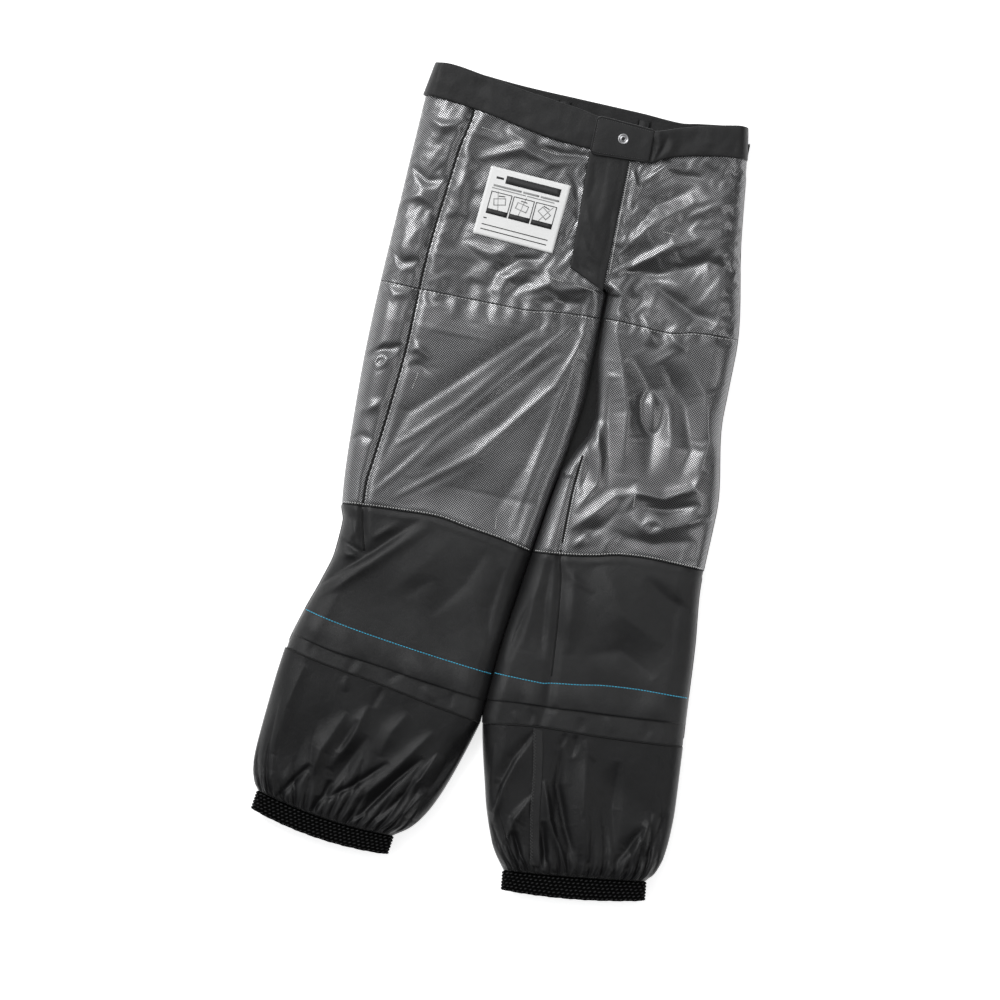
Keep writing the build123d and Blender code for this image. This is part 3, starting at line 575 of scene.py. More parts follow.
COLUMNS = 96
HIP_ROWS, THIGH_ROWS, LOWER_ROWS = 88, 106, 78
CREASES = {  # path, height, width and, where it isn't 0, lean
    "left": [
        # drag lines from the crotch, running together where the outseam meets the knee
        ([(4, 186), (-73, 109), (-132, 50), (-156, -28)], -1.6, 7, 0.3),
        ([(-24, 141), (-81, 69), (-138, 14)], 1.3, 4),
        ([(22, 180), (-34, 109), (-100, 30), (-152, -40)], 1.6, 3.6),
        ([(14, 150), (-48, 84), (-112, 16), (-150, -30)], -1.8, 8),
        ([(34, 176), (10, 107), (-55, 22), (-128, -37)], 1.6, 3.4),
        ([(14, 138), (-40, 56), (-107, -7)], -2.0, 9),
        ([(30, 190), (20, 109), (3, 4), (-5, -47)], 1.3, 4, 0.3),
        ([(16, 96), (-4, 20), (-28, -40)], -1.6, 9),
        ([(-36, 34), (-70, -4), (-104, -30)], 1.0, 9),
        # a pucker beside the outseam
        ([(-144, 111), (-135, 118), (-122, 107)], 3.0, 5),
        ([(-142, 97), (-130, 100), (-120, 94)], -2.2, 4),
        # the fly's base: a bright crest under it and two arcs beside it
        ([(-38, 194), (-16, 209), (19, 212), (37, 214)], 4.2, 8),
        ([(-30, 184), (-4, 192), (26, 194)], -2.4, 6),
        ([(-78, 186), (-72, 209), (-52, 226), (-28, 231)], -3.4, 4.5),
        ([(-66, 186), (-60, 204), (-44, 217), (-24, 222)], 3.0, 5),
        ([(-54, 186), (-48, 198), (-34, 208)], -2.6, 4),
        # under the waistband
        ([(-112, 318), (-101, 325), (-71, 338), (-40, 330), (-4, 337)], 3.6, 7),
        ([(-64, 348), (-34, 341), (4, 344)], -3.0, 4),
        ([(-90, 352), (-60, 345), (-30, 348)], 2.2, 4),
        ([(-20, 326), (-8, 310), (-2, 280), (-10, 250)], -2.4, 5),
        ([(-128, 340), (-122, 312), (-126, 270)], 2.6, 8),
        ([(-112, 300), (-112, 260), (-120, 220)], -2.4, 9),
        ([(-108, 232), (-80, 226), (-58, 240)], 2.4, 7),
        # the back's lining, wrapped forward beyond the outseam
        ([(-178, 352), (-156, 344), (-134, 352)], 2.6, 5),
        ([(-180, 300), (-160, 286), (-142, 292)], -2.4, 5),
        ([(-182, 262), (-164, 270), (-146, 262)], 2.2, 6),
        ([(-184, 214), (-168, 200), (-150, 206)], -2.2, 5),
        ([(-186, 180), (-170, 166), (-150, 172)], 2.2, 6),
        ([(-187, 100), (-168, 108), (-149, 118)], -3.0, 5),
        ([(-187, 92), (-168, 98), (-151, 106)], 2.8, 5),
        ([(-188, 40), (-174, 46), (-156, 58)], 2.4, 6),
        ([(-188, 10), (-174, 18), (-160, 16)], -2.0, 5),
    ],
    "right": [
        # a fan from the fly's base towards the side
        ([(41, 231), (64, 243), (101, 272), (130, 288)], 4.4, 7, 0.2),
        ([(50, 236), (92, 240), (137, 262), (168, 256)], -5.5, 10),
        ([(43, 222), (60, 212), (77, 208)], 4.6, 13),
        ([(76, 222), (94, 226), (134, 206), (160, 204)], -6.0, 11),
        ([(44, 246), (70, 284), (112, 318), (152, 338)], 2.6, 8),
        ([(50, 268), (74, 308), (116, 338)], -2.4, 7),
        ([(58, 330), (76, 350), (96, 356)], 3.0, 5, 0.3),
        ([(70, 330), (86, 342), (116, 346)], -2.8, 5),
        ([(44, 340), (50, 324), (48, 300)], 2.2, 4),
        ([(104, 300), (132, 318), (158, 330)], 2.4, 7),
        ([(118, 288), (144, 298), (168, 300)], -2.2, 6),
        ([(140, 268), (160, 276), (178, 268)], 2.2, 6),
        ([(84, 196), (92, 182), (104, 166)], 3.2, 7),
        ([(112, 188), (120, 176), (136, 168)], 2.4, 6),
        # the thigh's hollows and crests
        ([(64, 128), (70, 80), (82, 18)], -5.6, 9),
        ([(58, 180), (74, 137), (88, 96), (94, 33)], 4.6, 10),
        ([(82, 154), (108, 120), (118, 76), (120, 30)], -9.0, 16),
        ([(100, 142), (124, 112), (136, 80), (140, 50)], 1.6, 5),
        ([(112, 156), (144, 112), (158, 72), (152, 36)], -8.0, 15),
        ([(130, 168), (162, 128), (176, 84), (172, 44)], 4.2, 11),
        ([(176, 52), (171, 32), (142, 16), (114, 16), (104, -8)], 5.0, 6, 0.2),
        ([(108, -4), (125, -18), (160, -8), (194, 8)], 5.0, 8),
        ([(120, 2), (146, 4), (180, 18)], -4.4, 5),
        ([(100, -30), (140, -32), (184, -20)], -3.2, 8),
        ([(52, -36), (76, -12), (93, 9), (112, 16)], 3.4, 7),
        ([(60, -42), (86, -24), (98, -4)], -3.0, 6),
        ([(60, 78), (70, 44), (72, 18), (55, -16)], 3.6, 5),
        ([(54, 60), (60, 30), (56, 6)], -3.4, 5),
        ([(60, -52), (70, -40), (74, -30)], 2.4, 5),
        ([(90, -50), (96, -38), (106, -30)], 2.2, 5),
    ],
}
LOWER_CREASES = {
    "left": [
        # the back's lining folded forward under the knee, and the long crease beside it
        ([(-95, -52), (-138, -96), (-173, -128), (-193, -147)], -4.6, 6, 0.5),
        ([(-84, -56), (-128, -98), (-166, -136), (-188, -156)], 3.0, 9, 0.3),
        ([(-182, -84), (-164, -94), (-148, -101)], -3.4, 4),
        ([(-180, -98), (-166, -104), (-154, -103)], 2.8, 4),
        ([(-168, -66), (-162, -80), (-166, -92)], 2.2, 5),
        ([(-118, -62), (-132, -74), (-142, -84)], 1.8, 4),
        ([(-60, -60), (-82, -96), (-118, -138)], 1.4, 16),
        ([(-24, -68), (-40, -110), (-70, -150)], -1.4, 12, 0.3),
        ([(-4, -84), (-10, -130), (-4, -172)], -1.8, 8),
        ([(-71, -108), (-84, -120), (-100, -136)], -1.0, 8),
        # puckers between the tuck's fold and the gaiter's seam
        ([(-135, -206), (-138, -216), (-142, -226)], -1.3, 3), ([(-126, -208), (-130, -218), (-128, -224)], 0.9, 4),
        ([(-99, -224), (-92, -216), (-84, -210)], -1.2, 3), ([(-61, -221), (-54, -228), (-46, -232)], 1.1, 4),
        ([(-29, -219), (-31, -228), (-29, -236)], -1.0, 3), ([(-178, -200), (-182, -208), (-180, -214)], -0.8, 4),
    ],
    "right": [
        ([(42, -60), (44, -110), (52, -170)], -2.8, 5, 0.4),
        ([(30, -110), (22, -146), (17, -182)], -3.0, 5),
        ([(36, -76), (32, -120), (30, -164)], 2.0, 8),
        ([(66, -66), (72, -110), (78, -160)], 3.0, 9),
        ([(57, -72), (70, -84), (92, -92)], 1.4, 5),
        ([(92, -62), (124, -108), (172, -132)], 4.2, 20),
        ([(140, -66), (166, -84), (192, -92)], -2.6, 12, 0.3),
        ([(186, -60), (176, -100), (182, -150)], -1.6, 10),
        ([(92, -158), (130, -146), (170, -166)], -2.8, 12),
        ([(50, -222), (54, -228), (53, -238)], -1.4, 3), ([(35, -227), (38, -232), (40, -240)], 1.0, 3),
        ([(104, -220), (105, -228), (102, -236)], -1.3, 3), ([(129, -213), (134, -220), (139, -228)], 1.0, 4),
        ([(79, -214), (74, -218), (68, -219)], -1.1, 3), ([(168, -212), (172, -220), (170, -230)], -0.8, 4),
    ],
}
OUTSEAM_LEFT = smooth([(-128, 376), (-128, 366), (-135, 323), (-139, 283), (-143, 243), (-146, 193), (-147, 123),
                       (-152, 53), (-158, -7), (-160, -27), (-159, -47), (-156, -67), (-148, -97), (-144, -110)])
INSEAM_RIGHT = smooth([(52, 48), (49.5, 20), (48.5, -7), (49, -57), (55, -87), (62, -147), (66, -207), (63, -240)])


def gathers(x, y, seam, side):
    """Short pleats where the longer cloth is eased into the hip seam: more below it on the left, few on the right."""
    total = np.zeros_like(x)
    draw = np.random.default_rng(SEED + (20 if side == "left" else 21))
    here = -150.0 if side == "left" else 60.0
    stop = 30.0 if side == "left" else 176.0
    up = 1
    while here < stop:
        foot = float(seam(np.array(here)))
        for way, size in ((-1, draw.uniform(8, 30)), (1, draw.uniform(8, 22))):
            size *= 1.0 if side == "left" else 0.6
            bend = draw.uniform(-5, 5)
            path = [(here, foot - way), (here + bend * 0.4, foot + way * size * 0.5),
                    (here + bend, foot + way * size)]
            total += fold(x, y, path, up * draw.uniform(0.8, 3.0), draw.uniform(2.8, 5.4))
        here += draw.uniform(5, 14)
        up = -up
    return total


def unrolled(x, y, z):
    """Where the points of a rounded cloth lie once it is flat: the way across is measured along the cloth."""
    step = np.diff(x, axis=1)
    run = np.hypot(step, np.diff(z, axis=1)) * np.sign(step)
    across = np.concatenate([np.zeros((len(x), 1)), np.cumsum(run, axis=1)], 1)
    middle = slice(x.shape[1] // 2, x.shape[1] // 2 + 1)
    return np.stack([across - across[:, middle] + x[:, middle], y], -1)


def leg_cloth(side):
    """The front cloth of a leg from the waistband to the gaiter, relaxed: its grid and its flat places."""
    waist, hip, knee, ankle = BAND_LOWER, HIP_SEAM[side], KNEE_SEAM[side], GAITER_SEAM[side]
    spans = [plan_grid(side, lambda x: waist(x) + 6, hip, HIP_ROWS, COLUMNS),
             plan_grid(side, hip, knee, THIGH_ROWS, COLUMNS), plan_grid(side, knee, ankle, LOWER_ROWS, COLUMNS)]
    x = np.vstack([spans[0][0][:-1], spans[1][0][:-1], spans[2][0]])
    y = np.vstack([spans[0][1][:-1], spans[1][1][:-1], spans[2][1]])
    base = leg_height(side, x, y)
    outer, inner = EDGES[side]
    edge = np.minimum(np.abs(x - outer(y)), np.where(y < 214, np.abs(x - inner(y)), 99))
    fade = np.clip(edge / 14, 0, 1)
    bumps = creased(x, y, CREASES[side] + LOWER_CREASES[side])
    knee_y = knee(x)
    silver = np.clip((y - knee_y + 6) / 12, 0, 1)
    hips = np.clip((y - hip(x)) / 30, 0, 1)
    drift = noise(x, y, 80, 1 if side == "left" else 2) * 1.7
    if side == "left":  # the thigh slopes a little towards the knee's inner corner
        window = np.clip((180 - y) / 40, 0, 1) * np.clip((y + 56) / 40, 0, 1)
        drift = drift * (1 - 0.4 * window) - 0.045 * window * np.clip((x + 90) * 0.79 - (y - 70) * 0.61, -70, 110)
    fine = noise(x, y, 30, 3, 1.8, 20) * 0.45 * (0.1 + 0.9 * hips) + noise(x, y, 13, 5, 1.6, 35) * 0.10 * hips
    bumps += (drift + fine) * (0.35 + 0.65 * silver) + gathers(x, y, hip, side) * (0.42 if side == "left" else 0.3)
    if side == "left":
        bumps += -3.2 * np.exp(-((x - OUTSEAM_LEFT(y)) / 4.5) ** 2) * np.clip((y + 110) / 30, 0, 1)
    else:
        bumps += -2.4 * np.exp(-((x - INSEAM_RIGHT(y)) / 4.0) ** 2) * np.clip((50 - y) / 20, 0, 1)
    seam_dip = (0.15 if side == "left" else 0.5) * np.exp(-((y - hip(x)) / 3.0) ** 2)
    seam_dip = seam_dip + 1.2 * np.exp(-((y - knee_y) / 2.5) ** 2)
    z = base + bumps * (0.25 + 0.75 * fade) - seam_dip
    soft = (x > -12) & (x < 46) & (y > 205)  # under the fly flap
    z = np.where(soft, np.minimum(z, 35.2), z)
    points = np.stack([x, y, z], -1)
    weight = np.ones_like(x)
    weight[[0, -1], :] = 0
    weight[:, [0, -1]] = 0
    weight[HIP_ROWS - 1, :] *= 0.3
    weight[HIP_ROWS + THIGH_ROWS - 2, :] *= 0.2
    high = np.where(soft, 35.3, base + 5.5)
    low = base - 9.5
    near_seam = np.exp(-((y - hip(x)) / 14) ** 2) + 0.5 * np.exp(-((y - knee_y) / 10) ** 2)
    ease = (0.003 + 0.008 * near_seam + 0.005 * hips) * (0.35 + 0.65 * silver)
    grid = relax(points, weight, low, high, ease, 40, 4, stiff=0.2)
    turn = math.radians(21 if side == "left" else 0)  # the left leg is cut at a slant to the print
    flat = unrolled(x, y, base) @ np.array([[math.cos(turn), -math.sin(turn)], [math.sin(turn), math.cos(turn)]])
    return grid, flat


def back_height(side, x, y):
    """Height of the back of a leg above the floor."""
    outer, inner = EDGES[side]
    from_outer = np.abs(x - outer(y))
    from_inner = np.where(y < CROTCH[1], np.abs(inner(y) - x), 999.0)
    return EDGE_Z - (EDGE_Z - BACK_Z) * rise(from_outer, BACK_ROLL) * rise(from_inner, BACK_ROLL)


FRONT, FLAT = {}, {}
for side in SIDES:
    FRONT[side], FLAT[side] = leg_cloth(side)
HIP_ROW, KNEE_ROW = HIP_ROWS - 1, HIP_ROWS + THIGH_ROWS - 2
pieces, plan = {}, {}  # every piece by name, and the body or blend it follows


def keep(piece, follows="seat", replaces=(), cloth=None, held="laid"):
    """Files a piece with what it follows and the CAD nodes it stands for; a sheet also has its flat cut."""
    pieces[piece.name] = piece
    plan[piece.name] = (follows, replaces, cloth, held)
    return piece


def cut_of(grid):
    """Width, length and area, in metres, of the flat cloth a relaxed grid is made of."""
    along_rows = np.linalg.norm(np.diff(grid, axis=1), axis=-1).sum(1).max()
    along_columns = np.linalg.norm(np.diff(grid, axis=0), axis=-1).sum(0).max()
    a, b = grid[1:, 1:] - grid[:-1, :-1], grid[1:, :-1] - grid[:-1, 1:]
    area = np.linalg.norm(np.cross(a, b), axis=-1).sum() / 2
    return float(along_rows * MM), float(along_columns * MM), float(area * MM * MM)


def crossing(side, curve, lift=0.0):
    """Where each column of a leg's front cloth crosses a curve y(x)."""
    grid = FRONT[side]
    points = []
    for column in range(grid.shape[1]):
        line = grid[:, column]
        gap = line[:, 1] - curve(line[:, 0])
        row = int(np.argmax(gap <= 0))
        t = gap[row - 1] / (gap[row - 1] - gap[row])
        points.append(line[row - 1] * (1 - t) + line[row] * t + (0, 0, lift))
    return np.array(points)


def tree_of(grids):
    """A search tree over grids of points, to find the cloth's surface under a point."""
    points, faces, start = [], [], 0
    for grid in grids:
        faces += grid_quads(*grid.shape[:2], start).tolist()
        points += grid.reshape(-1, 3).tolist()
        start = len(points)
    return BVHTree.FromPolygons(points, faces)


COVER = tree_of([FRONT["left"], FRONT["right"]])


def surface(x, y, fallback=TOP_Z, tree=None):
    """Height of the front cloth at points x, y."""
    x, y = np.broadcast_arrays(np.asarray(x, float), np.asarray(y, float))
    found = np.empty(x.shape)
    for i, (px, py) in enumerate(zip(x.ravel(), y.ravel())):
        hit = (tree or COVER).ray_cast((float(px), float(py), 80.0), (0, 0, -1))[0]
        found.ravel()[i] = fallback if hit is None else hit[2]
    return found


def smoothed(grid, times):
    """A grid of heights with its small folds levelled."""
    for _ in range(times):
        pad = np.pad(grid, 1, mode="edge")
        grid = (pad[:-2, 1:-1] + pad[2:, 1:-1] + pad[1:-1, :-2] + pad[1:-1, 2:] + 4 * grid) / 8
    return grid


def divided(corners, count):
    """Points along the straight runs between corners, all but the last corner."""
    return [(x0 + (x1 - x0) * s, y0 + (y1 - y0) * s) for (x0, y0), (x1, y1) in zip(corners, corners[1:])
            for s in np.linspace(0, 1, count)[:-1]]


def draped_line(points, step=2.0, lift=0.3, tree=None):
    """A line over the cloth through plan points, as points in space."""
    points = np.array(points, float)
    runs = np.hypot(*np.diff(points, axis=0).T)
    at = np.concatenate([[0], np.cumsum(runs)])
    s = np.linspace(0, at[-1], max(3, int(at[-1] / step)))
    x, y = np.interp(s, at, points[:, 0]), np.interp(s, at, points[:, 1])
    return np.stack([x, y, surface(x, y, tree=tree) + lift], -1)


def tube_mesh(points, radius, sides=8, squash_z=1.0):
    """Vertices and faces of a tube with round closed ends along points."""
    points = np.array(points, float)
    way = np.gradient(points, axis=0)
    way /= np.linalg.norm(way, axis=1)[:, None] + 1e-12
    first = np.cross(way, (0, 0, 1.0))
    first /= np.linalg.norm(first, axis=1)[:, None] + 1e-12
    second = np.cross(first, way)
    angle = np.linspace(0, 2 * np.pi, sides, endpoint=False)
    reach = np.full(len(points), float(radius))
    reach[[0, -1]] *= 0.3
    ring = (points[:, None] + first[:, None] * (reach[:, None] * np.cos(angle))[..., None]
            + second[:, None] * (reach[:, None] * squash_z * np.sin(angle))[..., None])
    count = len(points)
    index = np.arange(count * sides).reshape(count, sides)
    following = np.roll(index, -1, axis=1)
    quads = np.stack([index[:-1], following[:-1], following[1:], index[1:]], -1).reshape(-1, 4).tolist()
    quads += [index[0, ::-1].tolist(), index[-1].tolist()]
    return ring.reshape(-1, 3), quads


def merge(parts):
    """Several (vertices, faces) as one."""
    points, faces, start = [], [], 0
    for some, quads in parts:
        points.append(some)
        faces += [[i + start for i in quad] for quad in quads]
        start += len(some)
    return np.vstack(points), faces


def solid(name, parts, cloth, levels=0):
    """A piece made of closed meshes."""
    points, faces = merge(parts)
    return make_piece(name, points, faces, points[:, :2], cloth, 0, levels)


def stitch_row(line, pitch=2.6, share=0.62, radius=0.32, sink=0.1):
    """Single stitches along a line in space, each a small tapered stick that dips at both ends."""
    line = np.array(line, float)
    runs = np.linalg.norm(np.diff(line, axis=0), axis=1)
    at = np.concatenate([[0], np.cumsum(runs)])
    parts = []
    for start in np.arange(0.2, at[-1] - pitch * share, pitch):
        s = start + pitch * share * np.array([0, 0.18, 0.5, 0.82, 1.0])
        points = np.stack([np.interp(s, at, line[:, k]) for k in range(3)], -1)
        points[:, 2] += radius * np.array([-0.9, 0.2, 0.5, 0.2, -0.9]) - sink
        parts.append(tube_mesh(points, radius, 6))
    return parts


# the linings
for side in SIDES:
    grid, flat = FRONT[side], FLAT[side]
    mirror = side == "right"  # columns run from the outside in, so the right side's quads turn the other way
    for name, rows, cloth, follows, nodes in (
            (f"hip_lining_{side}", slice(0, HIP_ROW + 1), SILVER, "seat", [f"lining_hip_{side}"]),
            (f"thigh_lining_{side}", slice(HIP_ROW, KNEE_ROW + 1), SILVER, "seat", [f"lining_thigh_{side}"]),
            (f"lower_front_lining_{side}", slice(KNEE_ROW, None), PLAIN, "knee", [f"lining_lower_front_{side}"])):
        keep(sheet_mesh(name, grid[rows], flat[rows], cloth, flip=mirror), follows, nodes, cut_of(grid[rows]))
    for name, top, bottom, rows, cloth, follows, nodes in (
            (f"back_lining_{side}", lambda x: BAND_LOWER(x) + 18, KNEE_SEAM[side], 110, SILVER, "seat",
             [f"lining_back_{side}"]),
            (f"lower_back_lining_{side}", KNEE_SEAM[side], GAITER_SEAM[side], 50, PLAIN, "knee",
             [f"lining_lower_back_{side}"])):
        x, y = plan_grid(side, top, bottom, rows, 48, back=True)
        z = back_height(side, x, y)
        amount = np.clip((EDGE_Z - z) / 8, 0, 1)
        z = z + (np.abs(noise(x, y, 34, 8)) * 1.1 + np.abs(noise(x, y, 15, 9)) * 0.3) * amount
        z[[0, -1]] = back_height(side, x, y)[[0, -1]]
        back = np.stack([x, y, np.maximum(z, 0.1)], -1)
        keep(sheet_mesh(name, back, unrolled(x, y, back[..., 2]), cloth, flip=not mirror), follows, nodes,
             cut_of(back))


def layer(name, grid, drop, thickness, cloth, follows, nodes, step=3, edge=4, above=19.0, below=None, mirror=False):
    """A layer inside the leg, some depth under its front or back cloth, where there is room for it."""
    grid = grid[2:-2:step, edge:-edge:step].copy()
    grid[..., 2] -= drop
    rows, columns = grid.shape[:2]
    quads = grid_quads(rows, columns)
    if mirror:
        quads = quads[:, ::-1]
    z = grid[..., 2].ravel()
    fits = (z[quads] > above).all(1) if below is None else (z[quads] < below).all(1)
    quads = quads[fits]
    used = np.unique(quads)
    renumber = np.full(rows * columns, -1)
    renumber[used] = np.arange(len(used))
    points = grid.reshape(-1, 3)[used]
    quads = renumber[quads]
    a, b = points[quads[:, 2]] - points[quads[:, 0]], points[quads[:, 3]] - points[quads[:, 1]]
    area = float(np.linalg.norm(np.cross(a, b), axis=-1).sum() / 2 * MM * MM)
    width, length, _ = cut_of(grid)
    area = min(max(area, 0.31 * width * length), width * length)
    piece = make_piece(name, points, quads.tolist(), points[:, :2], cloth, thickness, 1)
    return keep(piece, follows, nodes, (width, length, area))


for side in SIDES:
    grid, mirror = FRONT[side], side == "right"
    upper, lower = grid[:KNEE_ROW + 1], grid[KNEE_ROW:]
    layer(f"wadding_front_{side}", upper, 4.2, 3.4, WADDING, "seat", [f"insulation_front_{side}"], edge=9,
          mirror=mirror)
    layer(f"shell_front_{side}", upper, 7.9, 0.8, SHELL, "seat", [f"shell_front_{side}"], edge=11, above=15.0,
          mirror=mirror)
    layer(f"wadding_lower_{side}", lower, 3.4, 3.4, WADDING, "knee", [f"insulation_lower_{side}"], edge=9,
          mirror=mirror)
    layer(f"shell_lower_{side}", lower, 7.1, 0.8, SHELL, "knee", [f"shell_lower_{side}"], edge=11, above=15.5,
          mirror=mirror)
    for name, top, bottom, rows, follows, nodes in (
            ("back", lambda x: BAND_LOWER(x) + 2, KNEE_SEAM[side], 60, "seat", [[f"insulation_back_{side}"],
                                                                               [f"shell_back_{side}"]]),
            ("lower_back", KNEE_SEAM[side], GAITER_SEAM[side], 30, "knee", [[], []])):
        x, y = plan_grid(side, top, bottom, rows, 40, back=True)
        back = np.stack([x, y, back_height(side, x, y) + 2.6], -1)
        layer(f"wadding_{name}_{side}", back, -3.0, 3.0, WADDING, follows, nodes[0], 2, 3, below=8.5, mirror=mirror)
        layer(f"shell_{name}_{side}", back, -4.2, 0.8, SHELL, follows, nodes[1], 2, 3, below=9.7, mirror=mirror)

for side, centre in (("left", (-126, 275)), ("right", (106, 275))):
    low, high = node_box(f"pocket_bag_{side}")
    x, y = np.meshgrid(np.linspace(low[0], high[0], 24), np.linspace(high[1], low[1], 38))
    corner = np.clip(1 - (y - low[1]) / 18, 0, 1)
    x = x + (centre[0] - x) * 0.18 * corner ** 2
    bag = np.stack([x, y, smoothed(surface(x, y), 1) - 2.6], -1)
    keep(sheet_mesh(f"pocket_bag_{side}", bag, None, POCKET, 0.6, 1, flip=True), "seat", [f"pocket_bag_{side}"],
         cut_of(bag))

# ---- gaiters and cuffs -----------------------------------------------------------------------------

CUFF_TURN = {"left": -7.1, "right": 7.1}
CUFF_CENTRE = {"left": (-133.5, -368.5), "right": (129.3, -380.7)}
CUFF_HALF, CUFF_DEEP, CUFF_LONG, CUFF_MID = 73.0, 7.0, 19.5, 18.0
GAITER_OUTER = {"left": [(-208.5, -210), (-212, -240), (-215.5, -287), (-217.5, -322), (-215.5, -341), (-211, -353),
                         (-205.9, -359.5)],
                "right": [(212.5, -229), (215.5, -267), (218, -300), (217.5, -330), (215, -349), (209.5, -363),
                          (201.7, -371.7)]}
GAITER_INNER = {"left": [(3.9, -245.6), (-1.8, -267), (-7.7, -287), (-14, -307), (-21.2, -327), (-30.5, -347),
                         (-44, -366), (-61.1, -377.5)],
                "right": [(5.4, -246), (8.6, -262), (14.8, -287), (20.3, -307), (25.3, -327), (32.3, -347),
                          (42, -371), (56.9, -389.7)]}
GAITER_ROWS, GAITER_COLUMNS, PLEATS = 84, 150, 15
CUFF_BOW = {"left": (5.9, 7.0), "right": (1.5, 4.0)}  # how far its upper and lower edges sag in the middle
GAITER_CREASES = {
    "left": [
        ([(-119, -268), (-126, -286), (-134, -304)], -3.0, 4, 0.3),
        ([(-111, -250), (-127, -298), (-139, -324)], 4.4, 7),
        ([(-132, -262), (-150, -306), (-160, -346)], 5.2, 10, 0.2),
        ([(-106, -281), (-122, -316), (-140, -354)], -5.0, 9, 0.3),
        ([(-32, -284), (-45, -314), (-63, -337)], 4.2, 5, -0.4),
        ([(2, -252), (-15, -288), (-38, -330)], -5.2, 9),
        ([(-46, -292), (-70, -322), (-96, -360), (-116, -377)], -6.4, 5, 0.4),
        ([(-40, -262), (-78, -318), (-108, -352)], 4.2, 8),
        ([(-80, -304), (-110, -334), (-136, -354)], -4.6, 4),
        ([(-134, -334), (-138, -350), (-148, -372)], -4.8, 4),
        ([(-50, -318), (-64, -341), (-80, -364)], -4.6, 4),
        ([(-34, -322), (-52, -348), (-72, -372)], 3.6, 5),
        ([(-158, -322), (-175, -347), (-184, -362)], -3.8, 4),
        ([(-184, -222), (-196, -270), (-200, -320)], 2.6, 9),
        ([(-70, -250), (-84, -274), (-92, -300)], 2.6, 9),
        ([(-101, -230), (-104, -240), (-108, -252)], -1.2, 4),
        ([(-140, -226), (-140, -234), (-138, -242)], 1.0, 4),
    ],
    "right": [
        ([(60, -242), (44, -276), (36, -304), (34, -334)], -5.4, 5, 0.4),
        ([(52, -256), (38, -300), (36, -346)], 4.0, 6),
        ([(72, -306), (57, -336), (52, -362)], 3.6, 6, -0.3),
        ([(59, -348), (66, -362), (72, -376)], -3.6, 4),
        ([(90, -248), (93, -292), (109, -333), (128, -368)], -6.6, 6),
        ([(80, -290), (93, -329), (112, -362), (121, -380)], 4.8, 4, 0.3),
        ([(116, -252), (125, -310), (138, -364)], 5.4, 11),
        ([(103, -238), (104, -248), (102, -262)], -2.4, 4, 0.4),
        ([(91, -238), (90, -247), (86, -256)], -1.6, 3),
        ([(112, -240), (118, -252), (128, -262)], 1.4, 5),
        ([(189, -316), (176, -344), (164, -366)], -4.4, 6, 0.3),
        ([(208, -296), (201, -335), (190, -366)], -3.8, 6),
        ([(198, -300), (188, -336), (178, -362)], 3.2, 6),
        ([(150, -256), (152, -306), (164, -350)], -4.4, 11, 0.3),
        ([(86, -332), (94, -362), (95, -382)], -4.0, 4),
        ([(22, -262), (24, -296), (30, -330)], 2.4, 5),
    ],
}


def by_length(points, share):
    """Points at these shares of the length of a smooth line."""
    points = np.array(points, float)
    fine = np.array([[np.interp(t, range(len(points)), points[:, k]) for k in (0, 1)]
                     for t in np.linspace(0, len(points) - 1, 120)])
    for _ in range(60):
        fine[1:-1] = (fine[:-2] + fine[2:] + 2 * fine[1:-1]) / 4
    at = np.concatenate([[0], np.cumsum(np.hypot(*np.diff(fine, axis=0).T))])
    return np.stack([np.interp(share * at[-1], at, fine[:, k]) for k in (0, 1)], -1)


def gaiter_plan(side, rows, columns, bunch=0.45):
    """Plan of a gaiter between its seam and its cuff: x, y and how far down each row is."""
    t = np.linspace(0, 1, rows)
    outer, inner = by_length(GAITER_OUTER[side], t), by_length(GAITER_INNER[side], t)
    u = spread(columns, bunch)
    x = outer[:, :1] + (inner[:, :1] - outer[:, :1]) * u
    y = outer[:, 1:] + (inner[:, 1:] - outer[:, 1:]) * u
    chord = y[0] + 0
    seam = GAITER_SEAM[side](x[0])
    y += ((seam - chord) * (1 - t[:, None]) ** 1.5)
    y -= CUFF_BOW[side][0] * (1 - (2 * u - 1) ** 2) * (t[:, None] ** 5)  # the cuff bows a little
    return x, y, t[:, None] + 0 * x, u[None] + 0 * x


def gaiter_base(x, t, u, front=True):
    """Height of a gaiter's smooth front or back, narrowing to the cuff at its end."""
    width = np.abs(x[:, -1:] - x[:, :1])
    near = np.minimum(u, 1 - u) * width
    edge = EDGE_Z + (CUFF_MID - EDGE_Z) * t ** 3
    late = np.clip((t - 0.80) / 0.20, 0, 1)
    if front:
        top = TOP_Z + 0.5 - (TOP_Z + 0.5 - CUFF_MID - CUFF_DEEP - 0.8) * (1 - np.sqrt(1 - late ** 2 * 0.999))
        return edge + (top - edge) * rise(near, ROLL - 18 * late)
    low = BACK_Z + (CUFF_MID - CUFF_DEEP - 0.8 - BACK_Z) * (1 - np.sqrt(1 - late ** 2 * 0.999))
    return edge - (edge - low) * rise(near, BACK_ROLL - 8 * late)


